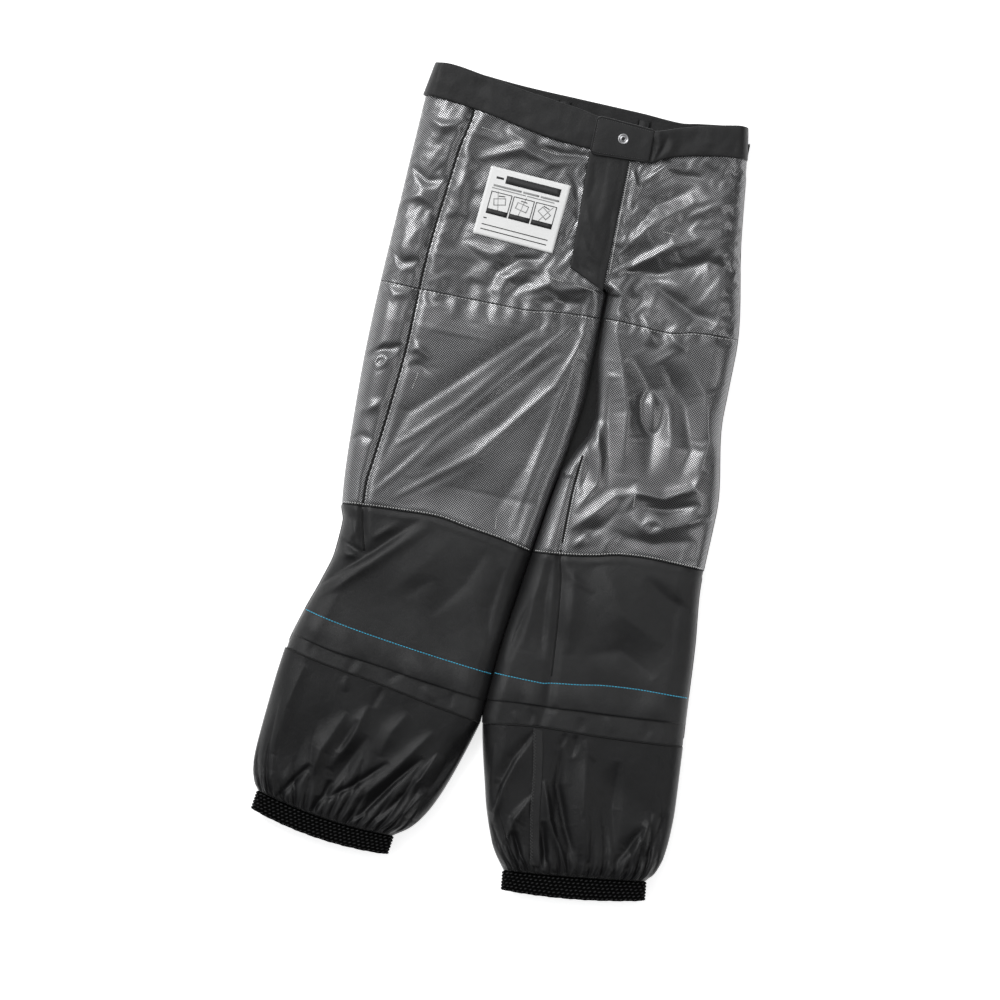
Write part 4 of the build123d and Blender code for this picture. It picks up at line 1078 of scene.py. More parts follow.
def gaiter_cloth(side, front=True):
    """One face of a gaiter: cloth as wide as its seam, gathered into the short cuff."""
    x, y, t, u = gaiter_plan(side, GAITER_ROWS, GAITER_COLUMNS)
    base = gaiter_base(x, t, u, front)
    draw = np.random.default_rng(SEED + (30 if side == "left" else 31) + (0 if front else 5))
    wander = u + 0.012 * np.sin(2 * np.pi * (2.3 * u + draw.uniform())) + 0.02 * np.sin(
        2 * np.pi * (1.1 * u + 0.6 * t + draw.uniform()))
    lean = 0.10 * (1 - t) * (1 if side == "left" else -1)
    reach = 0.5 + 0.5 * np.sin(2 * np.pi * (3.7 * u + draw.uniform()))  # some pleats run far up
    start = 0.78 - 0.46 * reach
    grown = np.clip((t - start) / (1 - start), 0, 1)
    pleat = 2 * np.abs(np.sin(np.pi * PLEATS * (wander + lean))) ** 0.8 - 1.2
    fine = pleat * grown ** 1.2 * 2.4
    small = 2 * np.abs(np.sin(np.pi * 2.3 * PLEATS * wander + 0.3)) ** 0.8 - 1.2
    small = small * np.clip((t - 0.84) / 0.16, 0, 1) * 1.3
    broad = creased(x, y, GAITER_CREASES[side] if front else [])
    calm = 1 - 0.7 * np.clip((t - 0.95) / 0.05, 0, 1)
    fade = np.clip(np.minimum(u, 1 - u) * 16, 0, 1) * np.clip(t / 0.03, 0, 1)
    waves = (fine + small + broad) * calm * fade
    rumple = noise(x, y, 70, 12) * 0.7 * np.sin(np.pi * t)
    z = base + (waves + rumple) * (1 if front else 0.35)
    grid = np.stack([x, y, z if front else np.maximum(z, 0.4)], -1)
    weight = np.ones_like(x)
    weight[[0, -1]] = 0
    weight[:, [0, -1]] = 0
    ease = 0.002 + 0.03 * np.clip((t - 0.6) / 0.3, 0, 1) * (1 - np.clip((t - 0.93) / 0.07, 0, 1))
    if front:
        grid = relax(grid, weight, np.maximum(base - 9.0, 15.0), base + 5.0, ease, 16, 3)
    else:
        grid = relax(grid, weight, np.maximum(base - 1.5, 0.3), base + 4, ease * 0.3, 12, 3)
    wide = np.abs(x[0, -1] - x[0, 0])
    flat = np.stack([(u - 0.5) * wide, -t * 140.0], -1)
    return grid, flat


GAITER_TOP = {}
for side in SIDES:
    mirror = side == "right"
    for face in ("front", "back"):
        grid, flat = gaiter_cloth(side, face == "front")
        if face == "front":
            GAITER_TOP[side] = grid
        keep(sheet_mesh(f"gaiter_{face}_{side}", grid, flat, GAITER, flip=mirror == (face == "front")),
             "gaiter", [f"gaiter_{side}"] if face == "front" else [], cut_of(grid), "gathered")


def cuff_ring(angle):
    """A point of the cuff's flat oval, and its outward direction, in the cuff's own axes."""
    half, radius = CUFF_HALF - CUFF_DEEP, CUFF_DEEP
    total = 4 * half + 2 * np.pi * radius
    s = (angle / (2 * np.pi) * total) % total
    turn = np.pi * radius
    first, second = (s - 2 * half) / radius, (s - 4 * half - turn) / radius  # how far round each end
    stretch = [s < 2 * half, s < 2 * half + turn, s < 4 * half + turn]
    x = np.select(stretch, [-half + s, half + radius * np.sin(first), half - (s - 2 * half - turn)],
                  -half - radius * np.sin(second))
    z = np.select(stretch, [radius, radius * np.cos(first), -radius], -radius * np.cos(second))
    nx = np.where(np.abs(x) > half, (x - np.sign(x) * half) / radius, 0)
    return x, z, nx, z / radius, total


def cuff(side):
    """The ribbed elastic cuff: bulging rows of knit round a flat oval, its inside a plain wall."""
    around = np.linspace(0, 2 * np.pi, 420, endpoint=False)
    x, z, nx, nz, total = cuff_ring(around)
    rows, ribs, neck = 72, 6, 5  # the neck is the plain edge inside the gaiter
    down = np.concatenate([np.linspace(-0.12, -0.01, neck), np.linspace(0, 1, rows), np.linspace(1, -0.12, 12)])
    inside = np.arange(len(down)) >= rows + neck
    rib = np.abs(np.sin(np.pi * ribs * down)) ** 0.6 * (down > 0)
    s = around / (2 * np.pi) * total
    knit = 0.4 * np.sin(2 * np.pi * s / 3.2 + np.pi * np.floor(ribs * down)[:, None])
    out = np.where(inside[:, None], -2.2, (1.1 + knit) * rib[:, None])
    out = out - 0.4 * (1 - np.clip(12 * np.minimum(down, 1 - down), 0, 1))[:, None] * ~inside[:, None]
    out = out - 0.9 * ((down < 0) & ~inside)[:, None]
    wave = 0.5 * np.sin(2 * np.pi * s / 17 + 1.0) + 0.3 * np.sin(2 * np.pi * s / 7.3)
    lx = x + nx * out
    lz = z + nz * out
    upper, lower = CUFF_BOW[side]
    bow = (upper + (lower - upper) * down[:, None]) * (1 - (x / CUFF_HALF) ** 2)
    ly = -0.3 - CUFF_LONG * down[:, None] - bow + wave * 0.35
    turn = math.radians(CUFF_TURN[side])
    cx, cy = CUFF_CENTRE[side]
    px = cx + lx * math.cos(turn) - ly * math.sin(turn)
    py = cy + lx * math.sin(turn) + ly * math.cos(turn)
    points = np.stack([px, py, CUFF_MID + lz], -1)
    uv = np.stack([s[None] + 0 * ly, 0 * s[None] + (CUFF_LONG * down)[:, None]], -1)
    return make_piece(f"cuff_{side}", points, ring_quads(*points.shape[:2]).tolist(), uv, ELASTIC)


for side in SIDES:
    keep(cuff(side), f"cuff_{side}", [f"cuff_{side}"])

# ---- growing tucks ---------------------------------------------------------------------------------

TUCK_ROWS = 14
TUCK_LIFTS = {"left": [(-66, 18), (-150, 12), (-18, 10)], "right": [(118, 20), (52, 9), (172, 14)]}
for side in SIDES:
    mirror = side == "right"
    seam, edge = crossing(side, lambda x: THREAD_LINE[side](x) + 1.5), crossing(side, FOLD_LINE[side])
    t = np.linspace(0, 1, TUCK_ROWS)[:, None, None]
    over = seam + (edge - seam) * t
    ground = over.copy()
    for row in range(TUCK_ROWS):
        share = row / (TUCK_ROWS - 1)
        ground[row] = crossing(
            side, lambda x: (THREAD_LINE[side](x) + 1.5) * (1 - share) + FOLD_LINE[side](x) * share)
    swell = noise(ground[..., 0], ground[..., 1], 30, 40 + mirror) * 0.4
    for middle, wide in TUCK_LIFTS[side]:
        swell = swell + 1.8 * np.exp(-(((ground[..., 0] - middle) / wide) ** 2))
    proud = 0.35 + (1.6 + swell) * t[..., 0] ** 0.7 + 1.1 * np.sin(np.pi * t[..., 0])
    top = ground + np.stack([0 * proud, 0 * proud, proud], -1)
    lip = top[-1:] + np.stack([0 * proud[-1:], 0 * proud[-1:] - 0.9, -0.5 * proud[-1:]], -1)
    under = ground[::-1] + np.array([0, 0, 0.25])
    tuck = np.concatenate([top, lip, under[1:]])
    keep(sheet_mesh(f"grow_tuck_{side}", tuck, None, PLAIN, 0.25, 1, flip=mirror), "knee", [f"grow_tuck_{side}"],
         cut_of(tuck), "folded")
    line = crossing(side, THREAD_LINE[side], 0.75)
    keep(solid(f"tuck_thread_{side}", stitch_row(line[2:-2], 3.0, 0.78, 0.46, 0.0), BLUE), "knee",
         [f"tuck_thread_{side}"])

# ---- waistband -------------------------------------------------------------------------------------

FRONT_UPPER = along([(-173, 408), (-163, 409), (-123, 404), (-78, 397), (-18, 389.5), (-3, 386.5), (48, 382),
                     (57.3, 383), (82, 391), (102, 397), (132, 404), (145, 406), (150, 406)])
BACK_UPPER = along([(-173, 408), (-163, 409.5), (-123, 406), (-78, 403), (-18, 401.5), (42, 400), (82, 398),
                    (102, 401), (132, 405), (145, 406), (150, 406)])
BAND_FRONT_Z, BAND_THICK = 35.6, 2.4
TAB_CREASES = [([(57, 376), (60, 362), (60, 349)], -2.6, 2.6), ([(62, 384), (66, 368), (61, 351)], 1.6, 3.0),
               ([(72, 382), (70, 368), (64, 354)], -1.8, 3.0), ([(78, 378), (78, 368), (74, 360)], 0.9, 4.0),
               ([(100, 386), (108, 380), (124, 384)], 0.6, 5.0)]


def band_piece(name, stations, nodes, seed, flip=False):
    """A stretch of the waistband through stations (x, z, how far towards the back from 0 to 1, outward side)."""
    stations = np.array(stations, float)
    rows = 22
    t = np.linspace(0, 1, rows)[:, None]
    x0, z0, behind, end = stations.T
    lower = BAND_LOWER(np.clip(x0, -180, 157))
    upper = FRONT_UPPER(np.clip(x0, -172, 145)) * (1 - behind) + BACK_UPPER(np.clip(x0, -172, 145)) * behind
    y = lower + (upper - lower) * t
    x = x0 + end * (1 - t)  # the ends lean in towards the top
    z = z0 + (noise(x, y, 34, seed) * 0.45 + noise(x, y, 14, seed + 1, 1.5, 80) * 0.16) * (1 - behind * 0.5) * (
        0.5 + 0.5 * np.sin(np.pi * t))
    z = z - np.where(behind < 0.5, 1.0, -0.5) * 1.0 * (np.abs(2 * t - 1) ** 10)
    if name == "waistband_front_right":
        z += creased(x, y, TAB_CREASES) * (behind < 0.5)
    grid = np.stack([x, y, z], -1)
    return keep(sheet_mesh(name, grid, None, BAND, BAND_THICK, 1, flip=flip), "seat", nodes, cut_of(grid))


def band_side(way):
    """Stations round one side of the band, from the front to the back."""
    at = -168.0 if way < 0 else 143.0
    return [(at + way * 8.5 * math.sin(a), 18.1 + 17.5 * math.cos(a), min(1.0, a / math.pi), way * 6.0 * (
        0.4 + 0.6 * math.sin(a))) for a in np.linspace(0.1, math.pi - 0.1, 15)]


front_left = [(x, BAND_FRONT_Z, 0.0, -2.4 if x < -160 else 0.0) for x in np.linspace(55.5, -166, 76)]
front_right = [(x, BAND_FRONT_Z + 3.9 * float(np.clip((86 - x) / 26, 0, 1)) ** 1.4, 0.0, 2.4 if x > 136 else 0.0)
               for x in np.linspace(56.5, 141, 64)]
band_piece("waistband_front_left", front_left + band_side(-1), ["waistband_front_left", "waistband_sides"], 51)
band_piece("waistband_front_right", front_right + band_side(1), ["waistband_front_right"], 53, flip=True)
back_run = [(x, 3.1, 1.0, 0.0) for x in np.linspace(-170, 144.5, 112)]
band_piece("waistband_back", back_run, ["waistband_back"], 55, flip=True)

low, high = node_box("waist_elastic")
x, y = np.meshgrid(np.linspace(low[0], high[0], 200), np.linspace(low[1], high[1], 20))
elastic = np.stack([x, y, 1.9 + 0.18 * np.sin(2 * np.pi * y / 2.4)], -1)
keep(sheet_mesh("waist_elastic", elastic, None, ELASTIC, 0.8, 0), "seat", ["waist_elastic"], cut_of(elastic))

BELT_LOOPS = ((-38.0, 397.0), (46.0, 394.0))  # middle and top of each loop
loops = []
for middle, top in BELT_LOOPS:
    across, down = np.meshgrid(np.linspace(-5.5, 5.5, 9), np.linspace(0, 1, 26))
    rise_ = 3.6 + 3.4 * np.sin(np.pi * down) ** 0.7 + 0.35 * np.cos(across / 5.5 * np.pi)
    loops.append(np.stack([middle + across, top - 33 * down, rise_], -1))
keep(join("belt_loops", [sheet_mesh(f"loop_{i}", grid, None, BAND, 1.1, 1) for i, grid in enumerate(loops)]),
     "seat", ["belt_loops"])
rows = []
for middle, top in BELT_LOOPS:
    for off in (-6.4, 6.4):
        y = np.linspace(top, top - 22, 14)
        rows.append(tube_mesh(np.stack([0 * y + middle + off, y, 0 * y + 3.5], -1), 0.55, 6))
keep(solid("loop_seams", rows, SEAM), "seat", [])

# the tab over the front, and the doubled end it grows out of
TAB = dict(left=-3.0, right=57.0)


def tab_grid(x0, x1, columns, z, seed, rounded=0.0):
    u, v = np.meshgrid(np.linspace(0, 1, columns), np.linspace(0, 1, 18))
    x = x0 + (x1 - x0) * u
    upper, lower = 386.5 - 3.5 * (x + 3) / 60, 346.5 + 3.0 * (x + 3) / 60
    if rounded:
        close = np.clip(1 - (x - x0) / rounded, 0, 1)
        turn = rounded * (1 - np.sqrt(1 - close ** 2 * 0.995))
        upper, lower = upper - turn, lower + turn
    y = upper + (lower - upper) * v
    swell = 0.35 * np.sin(np.pi * u) * np.sin(np.pi * v) + noise(x, y, 22, seed) * 0.16
    edge = np.maximum(np.abs(2 * u - 1), np.abs(2 * v - 1)) ** 14
    return np.stack([x, y, z + swell - 0.5 * edge], -1)


tab = tab_grid(TAB["left"], 58.0, 34, 40.3, 60, rounded=2.5)
keep(sheet_mesh("waist_tab", tab, None, BAND, 1.9, 1), "tab", ["waist_tab"], cut_of(tab))
inset = 2.3
ring_line = [(56, 383.1 - inset), (4, 386.1 - inset), (TAB["left"] + inset, 383.0),
             (TAB["left"] + inset, 350.4), (4, 346.9 + inset), (56, 349.5 + inset)]
TAB_TREE = tree_of([tab])
rim = [(56, 382.6), (1.5, 385.7), (TAB["left"] + 0.5, 382.6), (TAB["left"] + 0.5, 350.2), (1.5, 347.1), (56, 349.9)]
rim = draped_line(divided(rim, 12) + [rim[-1]], 1.5, -0.2, TAB_TREE)
rim[:, 2] = np.clip(rim[:, 2], 39.2, 40.6)
keep(solid("tab_piping", [tube_mesh(rim, 0.95, 8, 0.9)], BAND), "tab", [])
ring = draped_line(divided(ring_line, 14), lift=0.05, tree=TAB_TREE)
keep(solid("tab_topstitch", stitch_row(ring, 2.4, 0.6, 0.22), BLACK_THREAD), "tab", [])

# ---- fly -------------------------------------------------------------------------------------------

SHIELD_CREASES = [([(2, 300), (14, 270), (30, 250)], 1.3, 6), ([(6, 262), (18, 244), (32, 238)], 1.6, 5),
                  ([(0, 246), (10, 232), (26, 226)], -1.2, 4), ([(20, 330), (24, 300), (20, 272)], 0.9, 8),
                  ([(30, 300), (34, 268), (36, 236)], -0.8, 4), ([(4, 340), (8, 320), (6, 300)], -0.7, 4)]


def shield_grid():
    u, v = np.meshgrid(np.linspace(0, 1, 30), np.linspace(0, 1, 74))
    left = -4 + 4.4 * v
    x = left + (38.6 - left) * u
    foot = 228.5 - 17.5 * (x - 0.4) / 38.2
    y = 349 + (foot - 349) * v
    ground = np.maximum(smoothed(surface(x, y, 35.0), 12), 34.6)
    z = ground + 2.2
    y = np.minimum(y, 349)
    z += creased(x, y, SHIELD_CREASES)
    edge = np.maximum(np.abs(2 * u - 1), 2 * v - 1).clip(0, 1) ** 16
    return np.stack([x, y, np.minimum(z, 39.2) - 0.9 * edge], -1)


shield = shield_grid()
keep(sheet_mesh("fly_shield", shield, None, BAND, 1.3, 1), "flap", ["fly_shield"], cut_of(shield))
SHIELD_TREE = tree_of([shield])
right_edge = [(40.0 + 1.2 * ((346 - y) / 116) ** 2, y) for y in np.linspace(346, 228, 60)]
keep(solid("shield_stitches", stitch_row(draped_line(right_edge, lift=1.0), 2.3, 0.62, 0.52, 0.0), WHITE_THREAD),
     "seat", [])
left_edge = [(float(-4 + 3.5 * (349 - y) / 115) + 1.6, y) for y in np.linspace(344, 240, 50)]
keep(solid("shield_topstitch", stitch_row(draped_line(left_edge, lift=0.05, tree=SHIELD_TREE), 2.6, 0.6, 0.2),
           BLACK_THREAD), "fly_flap", [])


def coil(x_in, x_out, low, high, z0, z1):
    """One side of a nylon coil zip: a flat helix whose inner loops are bent into teeth."""
    pitch = 1.3
    turns = (high - low) / pitch
    s = np.linspace(0, turns, int(turns * 12))
    a = 2 * np.pi * s
    x = (x_in + x_out) / 2 + (x_out - x_in) / 2 * np.cos(a)
    z = (z0 + z1) / 2 + (z1 - z0) / 2 * 0.8 * np.sin(a)
    return tube_mesh(np.stack([x, low + s * pitch, z], -1), 0.28, 6)


for side in SIDES:
    low, high = node_box(f"zipper_coil_{side}")
    way = 1 if side == "left" else -1
    inner, outer_ = (high[0], low[0]) if side == "left" else (low[0], high[0])
    keep(solid(f"zipper_coil_{side}", [coil(inner - way * 0.3, outer_ + way * 0.3, low[1], high[1], low[2] + 0.3,
                                            high[2] - 0.3)], NYLON), "seat", [f"zipper_coil_{side}"])

# ---- label -----------------------------------------------------------------------------------------

LABEL_CORNERS = np.array([(-99, 314.5), (-15, 310.5), (-20, 239), (-104, 243.5)])
LABEL_WIDE, LABEL_HIGH = 84.0, 71.3
PRINT = 0.26  # how far the print's top lies above the label


def label_plan(u, v):
    """Plan point of the label at shares u from its left and v from its top."""
    a, b, c, d = LABEL_CORNERS
    u, v = np.asarray(u, float)[..., None], np.asarray(v, float)[..., None]
    return (a * (1 - u) + b * u) * (1 - v) + (d * (1 - u) + c * u) * v


def label_height(u, v):
    """The label bridges the small folds under it and curls a little at its corners."""
    return 36.0 + 0.45 * np.sin(2.2 * u + 0.4) * np.cos(2.6 * v) + 0.3 * np.sin(5 * u * v + 1) + 0.5 * (
        (2 * u - 1) ** 2 * (2 * v - 1) ** 2)


def label_patch(u0, u1, v0, v1, lift, turn=0.0, middle=None):
    """A small printed patch in the label's own shares, with its thickness."""
    nu = max(2, int((u1 - u0) * LABEL_WIDE / 4) + 1)
    nv = max(2, int((v1 - v0) * LABEL_HIGH / 4) + 1)
    u, v = np.meshgrid(np.linspace(u0, u1, nu), np.linspace(v0, v1, nv))
    if turn:
        mu, mv = middle or ((u0 + u1) / 2, (v0 + v1) / 2)
        du, dv = (u - mu) * LABEL_WIDE, (v - mv) * LABEL_HIGH
        c, s = math.cos(math.radians(turn)), math.sin(math.radians(turn))
        u, v = mu + (du * c - dv * s) / LABEL_WIDE, mv + (du * s + dv * c) / LABEL_HIGH
    top = np.concatenate([label_plan(u, v), (label_height(u, v) + lift)[..., None]], -1)
    bottom = top - np.array([0, 0, 0.05])
    count = nu * nv
    index = np.arange(count).reshape(nv, nu)
    up = grid_quads(nv, nu)
    faces = up.tolist() + (up[:, ::-1] + count).tolist()
    rim = np.concatenate([index[0, :-1], index[:-1, -1], index[-1, :0:-1], index[:0:-1, 0]])
    for i, j in zip(rim, np.roll(rim, -1)):
        faces.append([int(i), int(j), int(j) + count, int(i) + count])
    return np.vstack([top.reshape(-1, 3), bottom.reshape(-1, 3)]), faces


u, v = np.meshgrid(np.linspace(0, 1, 32), np.linspace(0, 1, 28))
label = np.concatenate([label_plan(u, v), label_height(u, v)[..., None]], -1)
keep(sheet_mesh("care_label", label, None, LABEL, 0.3, 0), "seat", ["care_label"], cut_of(label))


def frame_lines(u0, u1, v0, v1, width):
    """The outline of a box, as four patches."""
    wu, wv = width / LABEL_WIDE, width / LABEL_HIGH
    return [label_patch(u0, u1, v0, v0 + wv, PRINT), label_patch(u0, u1, v1 - wv, v1, PRINT),
            label_patch(u0, u0 + wu, v0 + wv, v1 - wv, PRINT), label_patch(u1 - wu, u1, v0 + wv, v1 - wv, PRINT)]


ink, grey = [], []
ink.append(label_patch(0.22, 0.90, 0.085, 0.20, PRINT))  # a plain heading bar, in place of words
ink.append(label_patch(0.10, 0.19, 0.128, 0.158, PRINT))
for u0, u1 in ((0.09, 0.44), (0.46, 0.66), (0.68, 0.91)):
    grey.append(label_patch(u0, u1, 0.245, 0.272, PRINT))
for u0, u1 in ((0.08, 0.50), (0.52, 0.86)):
    grey.append(label_patch(u0, u1, 0.292, 0.306, PRINT))
for k, u0 in enumerate((0.085, 0.365, 0.645)):
    u1 = u0 + 0.262
    ink += frame_lines(u0, u1, 0.345, 0.66, 0.8)
    ink.append(label_patch(u0, u1, 0.60, 0.675, 0.30))
    turn = (-14, 10, 34)[k]
    mu, mv = u0 + 0.13, 0.475
    for du, dv, wide, high_ in ((0, -0.045, 0.15, 0.012), (0, 0.045, 0.15, 0.012), (-0.07, 0, 0.010, 0.09),
                                (0.07, 0, 0.010, 0.09), (0.02 * (k - 1), 0, 0.007, 0.30)):
        across, down = mu + du, mv + dv
        grey.append(label_patch(across - wide / 2, across + wide / 2, down - high_ / 2, down + high_ / 2, PRINT, turn,
                                (mu, mv)))
    ink.append(label_patch(mu - 0.03, mu + 0.05, 0.385, 0.398, PRINT, turn / 2))
ink.append(label_patch(0.075, 0.115, 0.735, 0.752, PRINT))
ink += [label_patch(0.075, 0.90, 0.831, 0.844, PRINT), label_patch(0.075, 0.90, 0.901, 0.914, PRINT)]
keep(solid("label_print", ink, INK), "seat", [])
keep(solid("label_print_grey", grey, GREY_INK), "seat", [])
upper_edge = draped_line(label_plan(np.array([0.02, 0.98]), np.array([0.022, 0.022])), lift=0.1,
                         tree=tree_of([label]))
keep(solid("label_stitches", stitch_row(upper_edge, 2.2, 0.5, 0.16), LABEL), "seat", [])

# ---- seams, bindings and tacks ---------------------------------------------------------------------


def along_seam(curve, top, bottom, lift, step=2.0):
    """Points in space down a seam given as x(y)."""
    y = np.arange(top, bottom, -step)
    x = curve(y)
    return np.stack([x, y, surface(x, y) + lift], -1)


def cord_line(points, radius, cloth, name, follows, nodes=(), sink=1.4):
    points = np.array(points, float)
    points[:, 2] = np.convolve(np.pad(points[:, 2], 2, mode="edge"), np.ones(5) / 5, "valid")
    points[[0, -1], 2] -= sink
    return keep(solid(name, [tube_mesh(points, radius, 8, 0.8)], cloth), follows, nodes)


KNEE_Y = -56.0
cord_line(along_seam(OUTSEAM_LEFT, 369, KNEE_Y + 4, 0.2), 1.25, SEAM, "outseam_piping_left", "seat", ["outseam_left"])
cord_line(along_seam(OUTSEAM_LEFT, KNEE_Y + 2, -100, 0.1), 1.0, SEAM, "outseam_lower_left", "knee", [])
stitches = stitch_row(along_seam(lambda y: OUTSEAM_LEFT(y) + 2.4, 366, KNEE_Y + 6, 0.8), 3.4, 0.45, 0.42)
keep(solid("outseam_stitches_left", stitches, WHITE_THREAD), "seat", [])
cord_line(along_seam(INSEAM_RIGHT, 44, KNEE_Y + 4, 0.2), 1.1, SEAM, "inseam_piping_right", "seat", ["inseam_right"])
cord_line(along_seam(INSEAM_RIGHT, KNEE_Y + 2, -188, 0.1), 0.9, SEAM, "inseam_lower_right", "knee", [])
stitches = stitch_row(along_seam(lambda y: INSEAM_RIGHT(y) + 2.2, 44, KNEE_Y + 6, 0.8), 2.9, 0.45, 0.42)
keep(solid("inseam_stitches_right", stitches, WHITE_THREAD), "seat", [])


def edge_binding(side, inner, top, bottom, name, follows, nodes):
    """Piping in the seam along a leg's outline."""
    curve = EDGES[side][1 if inner else 0]
    y = np.arange(top, bottom, -3.0)
    x = curve(y)
    inward = 1.0 if (side == "left") != inner else -1.0
    # the inner piping is real, but it is made thicker so that its dark cloth also fills the slit between the legs as
    # painted shade
    radius = 1.7 if inner else 1.0
    cord_line(np.stack([x + inward * 0.6, y, 0 * y + EDGE_Z], -1), radius, SEAM, name, follows, nodes, 0.0)


edge_binding("left", True, 212, KNEE_Y - 1, "inseam_piping_left", "seat", ["inseam_left"])
edge_binding("right", False, 358, KNEE_Y + 4, "outseam_piping_right", "seat", ["outseam_right"])
for side in SIDES:
    for inner in (False, True):
        edge_binding(side, inner, KNEE_Y + (6 if inner else 2), -205 if side == "left" else -224,
                     f"leg_piping_{'inner' if inner else 'outer'}_{side}", "knee",
                     [f"leg_seams_{side}"] if inner else [])

for side in SIDES:
    line = crossing(side, lambda x: HIP_SEAM[side](x) - 1.6, 0.8)
    keep(solid(f"hip_seam_stitches_{side}", stitch_row(line[6:-6], 3.6, 0.38, 0.4, 0.0), WHITE_THREAD), "seat", [])
    line = crossing(side, lambda x: KNEE_SEAM[side](x), 0.3)
    cord_line(line[1:-1], 0.6, SEAM, f"knee_seam_{side}", "seat")
    line = crossing(side, lambda x: KNEE_SEAM[side](x) + 1.9, 0.9)
    keep(solid(f"knee_stitches_{side}", stitch_row(line[3:-3], 2.9, 0.4, 0.5, 0.0), WHITE_THREAD), "seat", [])
    line = GAITER_TOP[side][0] + np.array([0, 0, 0.4])
    cord_line(line[2:-2], 0.9, SEAM, f"gaiter_seam_{side}", f"lower_{side}")

# a dark sheet deep in the fold between the thighs, from the crotch down: painted shade standing for the shadow in the
# gap
y, share = np.meshgrid(np.linspace(214, 14, 80), np.linspace(0, 1, 8), indexing="ij")
near, far = EDGES["left"][1](y) - 3, np.interp(y, GAP_Y, GAP_X) + 4
far = np.minimum(far, near + 3 + np.interp(y, [14, 40, 214], [2, 40, 40]))
painted_shade_floor = np.stack([near + (far - near) * share, y, 15.2 + 0 * y], -1)
keep(sheet_mesh("thigh_fold_facing", painted_shade_floor, None, SEAM, 0.5, 0), "seat", [], cut_of(painted_shade_floor))

# short rows of light stitches through the lining
TACKS = [[(86, 283), (99, 283)], [(-130, 92), (-133, 74)], [(-22, -36), (-21, -50)], [(112, 14), (113, 2)],
         [(-18, 214), (-2, 213)], [(8, 212), (30, 210)], [(-116, 351), (-98, 349)], [(-52, 341), (-32, 339)],
         [(46, 330), (47, 318)]]
rows = []
for path in TACKS:
    rows += stitch_row(draped_line(path, 1.0, 0.7), 2.2, 0.5, 0.42, 0.0)
keep(solid("tack_stitches", rows, WHITE_THREAD), "seat", [])

# a serged seam allowance down the right gaiter
SERGE = smooth([(62, -237), (70, -277), (77, -327), (85, -367), (88, -385)])
gaiter_tree = tree_of([GAITER_TOP["right"]])
y = np.linspace(-240, -378, 70)
strip = []
for off in np.linspace(-5.0, 5.0, 7):
    x = SERGE(y) + off
    strip.append(np.stack([x, y, surface(x, y, 26.0, gaiter_tree) + 0.7 + 0.12 * (5.5 - off)], -1))
strip = np.array(strip).transpose(1, 0, 2)
strip[..., 2] = smoothed(strip[..., 2], 2) + 0.1
keep(sheet_mesh("gaiter_seam_allowance", strip, None, PLAIN, 0.5, 1), "gaiter", [], cut_of(strip))
zigzag = []
for i, yy in enumerate(np.arange(-243, -374, -1.6)):
    off = 4.9 if i % 2 else 2.2
    zigzag.append((float(SERGE(np.array(yy))) - off, yy))
serge_tree = tree_of([strip])
points = np.array([(x, yy, float(surface(x, yy, 26.0, serge_tree)) + 0.25) for x, yy in zigzag])
keep(solid("gaiter_serging", [tube_mesh(points, 0.3, 5)], SERGE_THREAD), "gaiter", [])


def lathe(profile, centre, segments=56):
    """A ring turned from a closed profile of (radius, height)."""
    profile = np.array(profile, float)
    angle = np.linspace(0, 2 * np.pi, segments, endpoint=False)
    x = centre[0] + profile[:, :1] * np.cos(angle)
    y = centre[1] + profile[:, :1] * np.sin(angle)
    points = np.stack([x, y, profile[:, 1:] + 0 * x], -1)
    return points.reshape(-1, 3), ring_quads(len(points), segments)[:, ::-1].tolist()


low, high = node_box("snap_ring")
centre = (low + high) / 2
outer_r = (high[0] - low[0]) / 2
rolled = [(outer_r - 0.15, 0.0), (outer_r, 0.3), (outer_r - 0.25, 0.75), (outer_r - 0.9, 0.95), (outer_r - 1.6, 0.8),
          (outer_r - 2.0, 0.45), (outer_r - 2.7, 0.5), (outer_r - 3.1, 0.95), (1.9, 0.9), (1.65, 0.5), (1.6, 0.0)]
ring = [(r, float(high[2]) - 0.95 + h + 0.25) for r, h in rolled]
keep(solid("snap_ring", [lathe(ring, centre)], NICKEL, 1), "waist_tab", ["snap_ring"])

# ---- camera, light and floor ---------------------------------------------------------------------


SKY_TOWARDS = (-0.60, 0.46, 0.655)  # the bright side of a soft tent round the pants
SKY_STRENGTH = 0.95


def look_from_above():
    """A camera straight overhead, turned so that the waist points up and to the right of the picture."""
    camera = bpy.data.cameras.new("camera")
    camera.lens, camera.sensor_width = 200, 36
    placed = bpy.data.objects.new("camera", camera)
    placed.location = (-0.0222, -0.0185, 5.712)
    placed.rotation_euler = (0, 0, math.radians(11.5))
    bpy.context.scene.collection.objects.link(placed)
    bpy.context.scene.camera = placed


def area_light(name, place, aim, size, power, colour=(1, 1, 1)):
    light = bpy.data.lights.new(name, "AREA")
    light.shape, light.size, light.size_y = "RECTANGLE", size[0], size[1]
    light.energy, light.color = power, colour
    placed = bpy.data.objects.new(name, light)
    placed.location = place
    placed.rotation_euler = (Vector(aim) - Vector(place)).to_track_quat("-Z", "Y").to_euler()
    bpy.context.scene.collection.objects.link(placed)


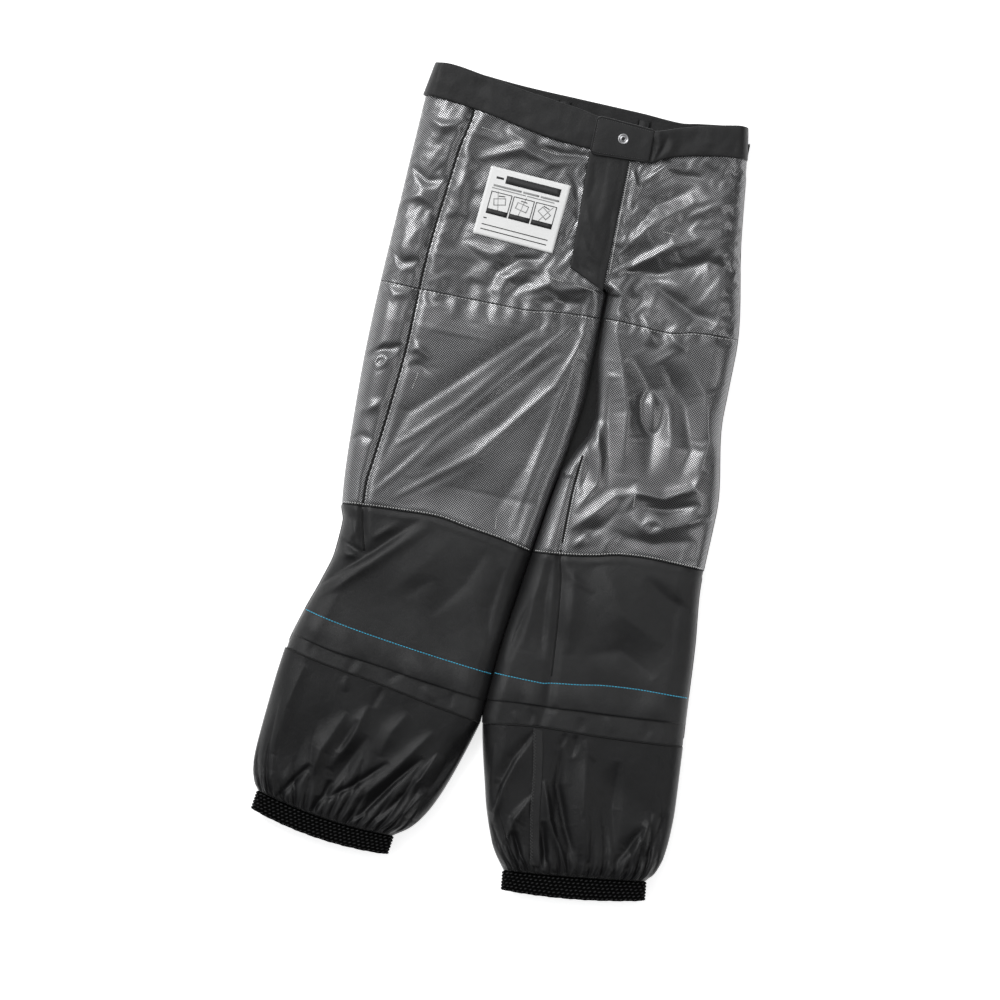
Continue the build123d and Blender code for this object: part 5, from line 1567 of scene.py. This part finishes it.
def studio():
    world = bpy.data.worlds.new("studio")
    bpy.context.scene.world = world
    world.use_nodes = True
    tree = world.node_tree
    back = next(n for n in tree.nodes if n.type == "BACKGROUND")
    back.inputs["Strength"].default_value = SKY_STRENGTH
    place = node(tree, "TexCoord")
    facing = node(tree, "VectorMath", {0: place.outputs["Generated"], 1: SKY_TOWARDS}, operation="DOT_PRODUCT")
    glow = node(tree, "MapRange", {"Value": facing.outputs["Value"], "From Min": 0.15, "From Max": 1.0,
                                   "To Min": 0.05, "To Max": 1.0}, interpolation_type="SMOOTHSTEP")
    feed(tree, two_tone(tree, glow.outputs["Result"], (0.0, 0.0, 0.0), (0.98, 0.99, 1.0)), back, "Color")
    area_light("key", (-1.2, 1.0, 1.8), (0, 0, 0), (1.1, 1.1), 22)
    area_light("fill", (1.6, -0.2, 1.6), (0, 0, 0), (1.3, 1.3), 8)
    scene = bpy.context.scene
    scene.view_settings.view_transform = "Standard"
    scene.view_settings.look = "None"
    mesh = bpy.data.meshes.new("floor")
    mesh.from_pydata([(-4, -4, 0), (4, -4, 0), (4, 4, 0), (-4, 4, 0)], [], [(0, 1, 2, 3)])
    floor = bpy.data.objects.new("floor", mesh)
    scene.collection.objects.link(floor)
    made, tree, shader = material("floor", (0.93, 0.93, 0.93), 0.9)
    shader.inputs["Emission Color"].default_value = (1, 1, 1, 1)
    shader.inputs["Emission Strength"].default_value = 0.7
    mesh.materials.append(made)


look_from_above()
studio()

# ---- bodies and nodes ----------------------------------------------------------------------------

for name, piece in pieces.items():
    follows, nodes, cloth, held = plan[name]
    apply_modifiers(piece)
    side = "right" if "right" in name or name in ("gaiter_seam_allowance", "gaiter_serging") else "left"
    if follows == "knee":
        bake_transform(piece)
    elif follows == "gaiter":
        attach(piece, f"lower_{side}")
        turn = math.radians(CUFF_TURN[side])
        top = GAITER_OUTER[side][0] if side == "left" else GAITER_INNER[side][0]
        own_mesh(piece)
    elif follows == "tab":
        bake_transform(piece)
    elif follows == "flap":
        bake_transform(piece)
    else:
        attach(piece, follows)
    if nodes:
        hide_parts(*nodes)

# the snap socket takes the dark gunmetal so that the ring's centre reads dark: painted shade in the ring's hole
for nodes, cloth in ((("zipper_tape_left", "zipper_tape_right"), TAPE), (("zipper_slider", "zipper_pull"), GUNMETAL),
                     (("zipper_stops", "snap_socket"), GUNMETAL), (("snap_stud", "snap_cap"), NICKEL)):
    for name in nodes:
        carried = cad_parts[name]
        carried.data.materials.clear()
        carried.data.materials.append(cloth)
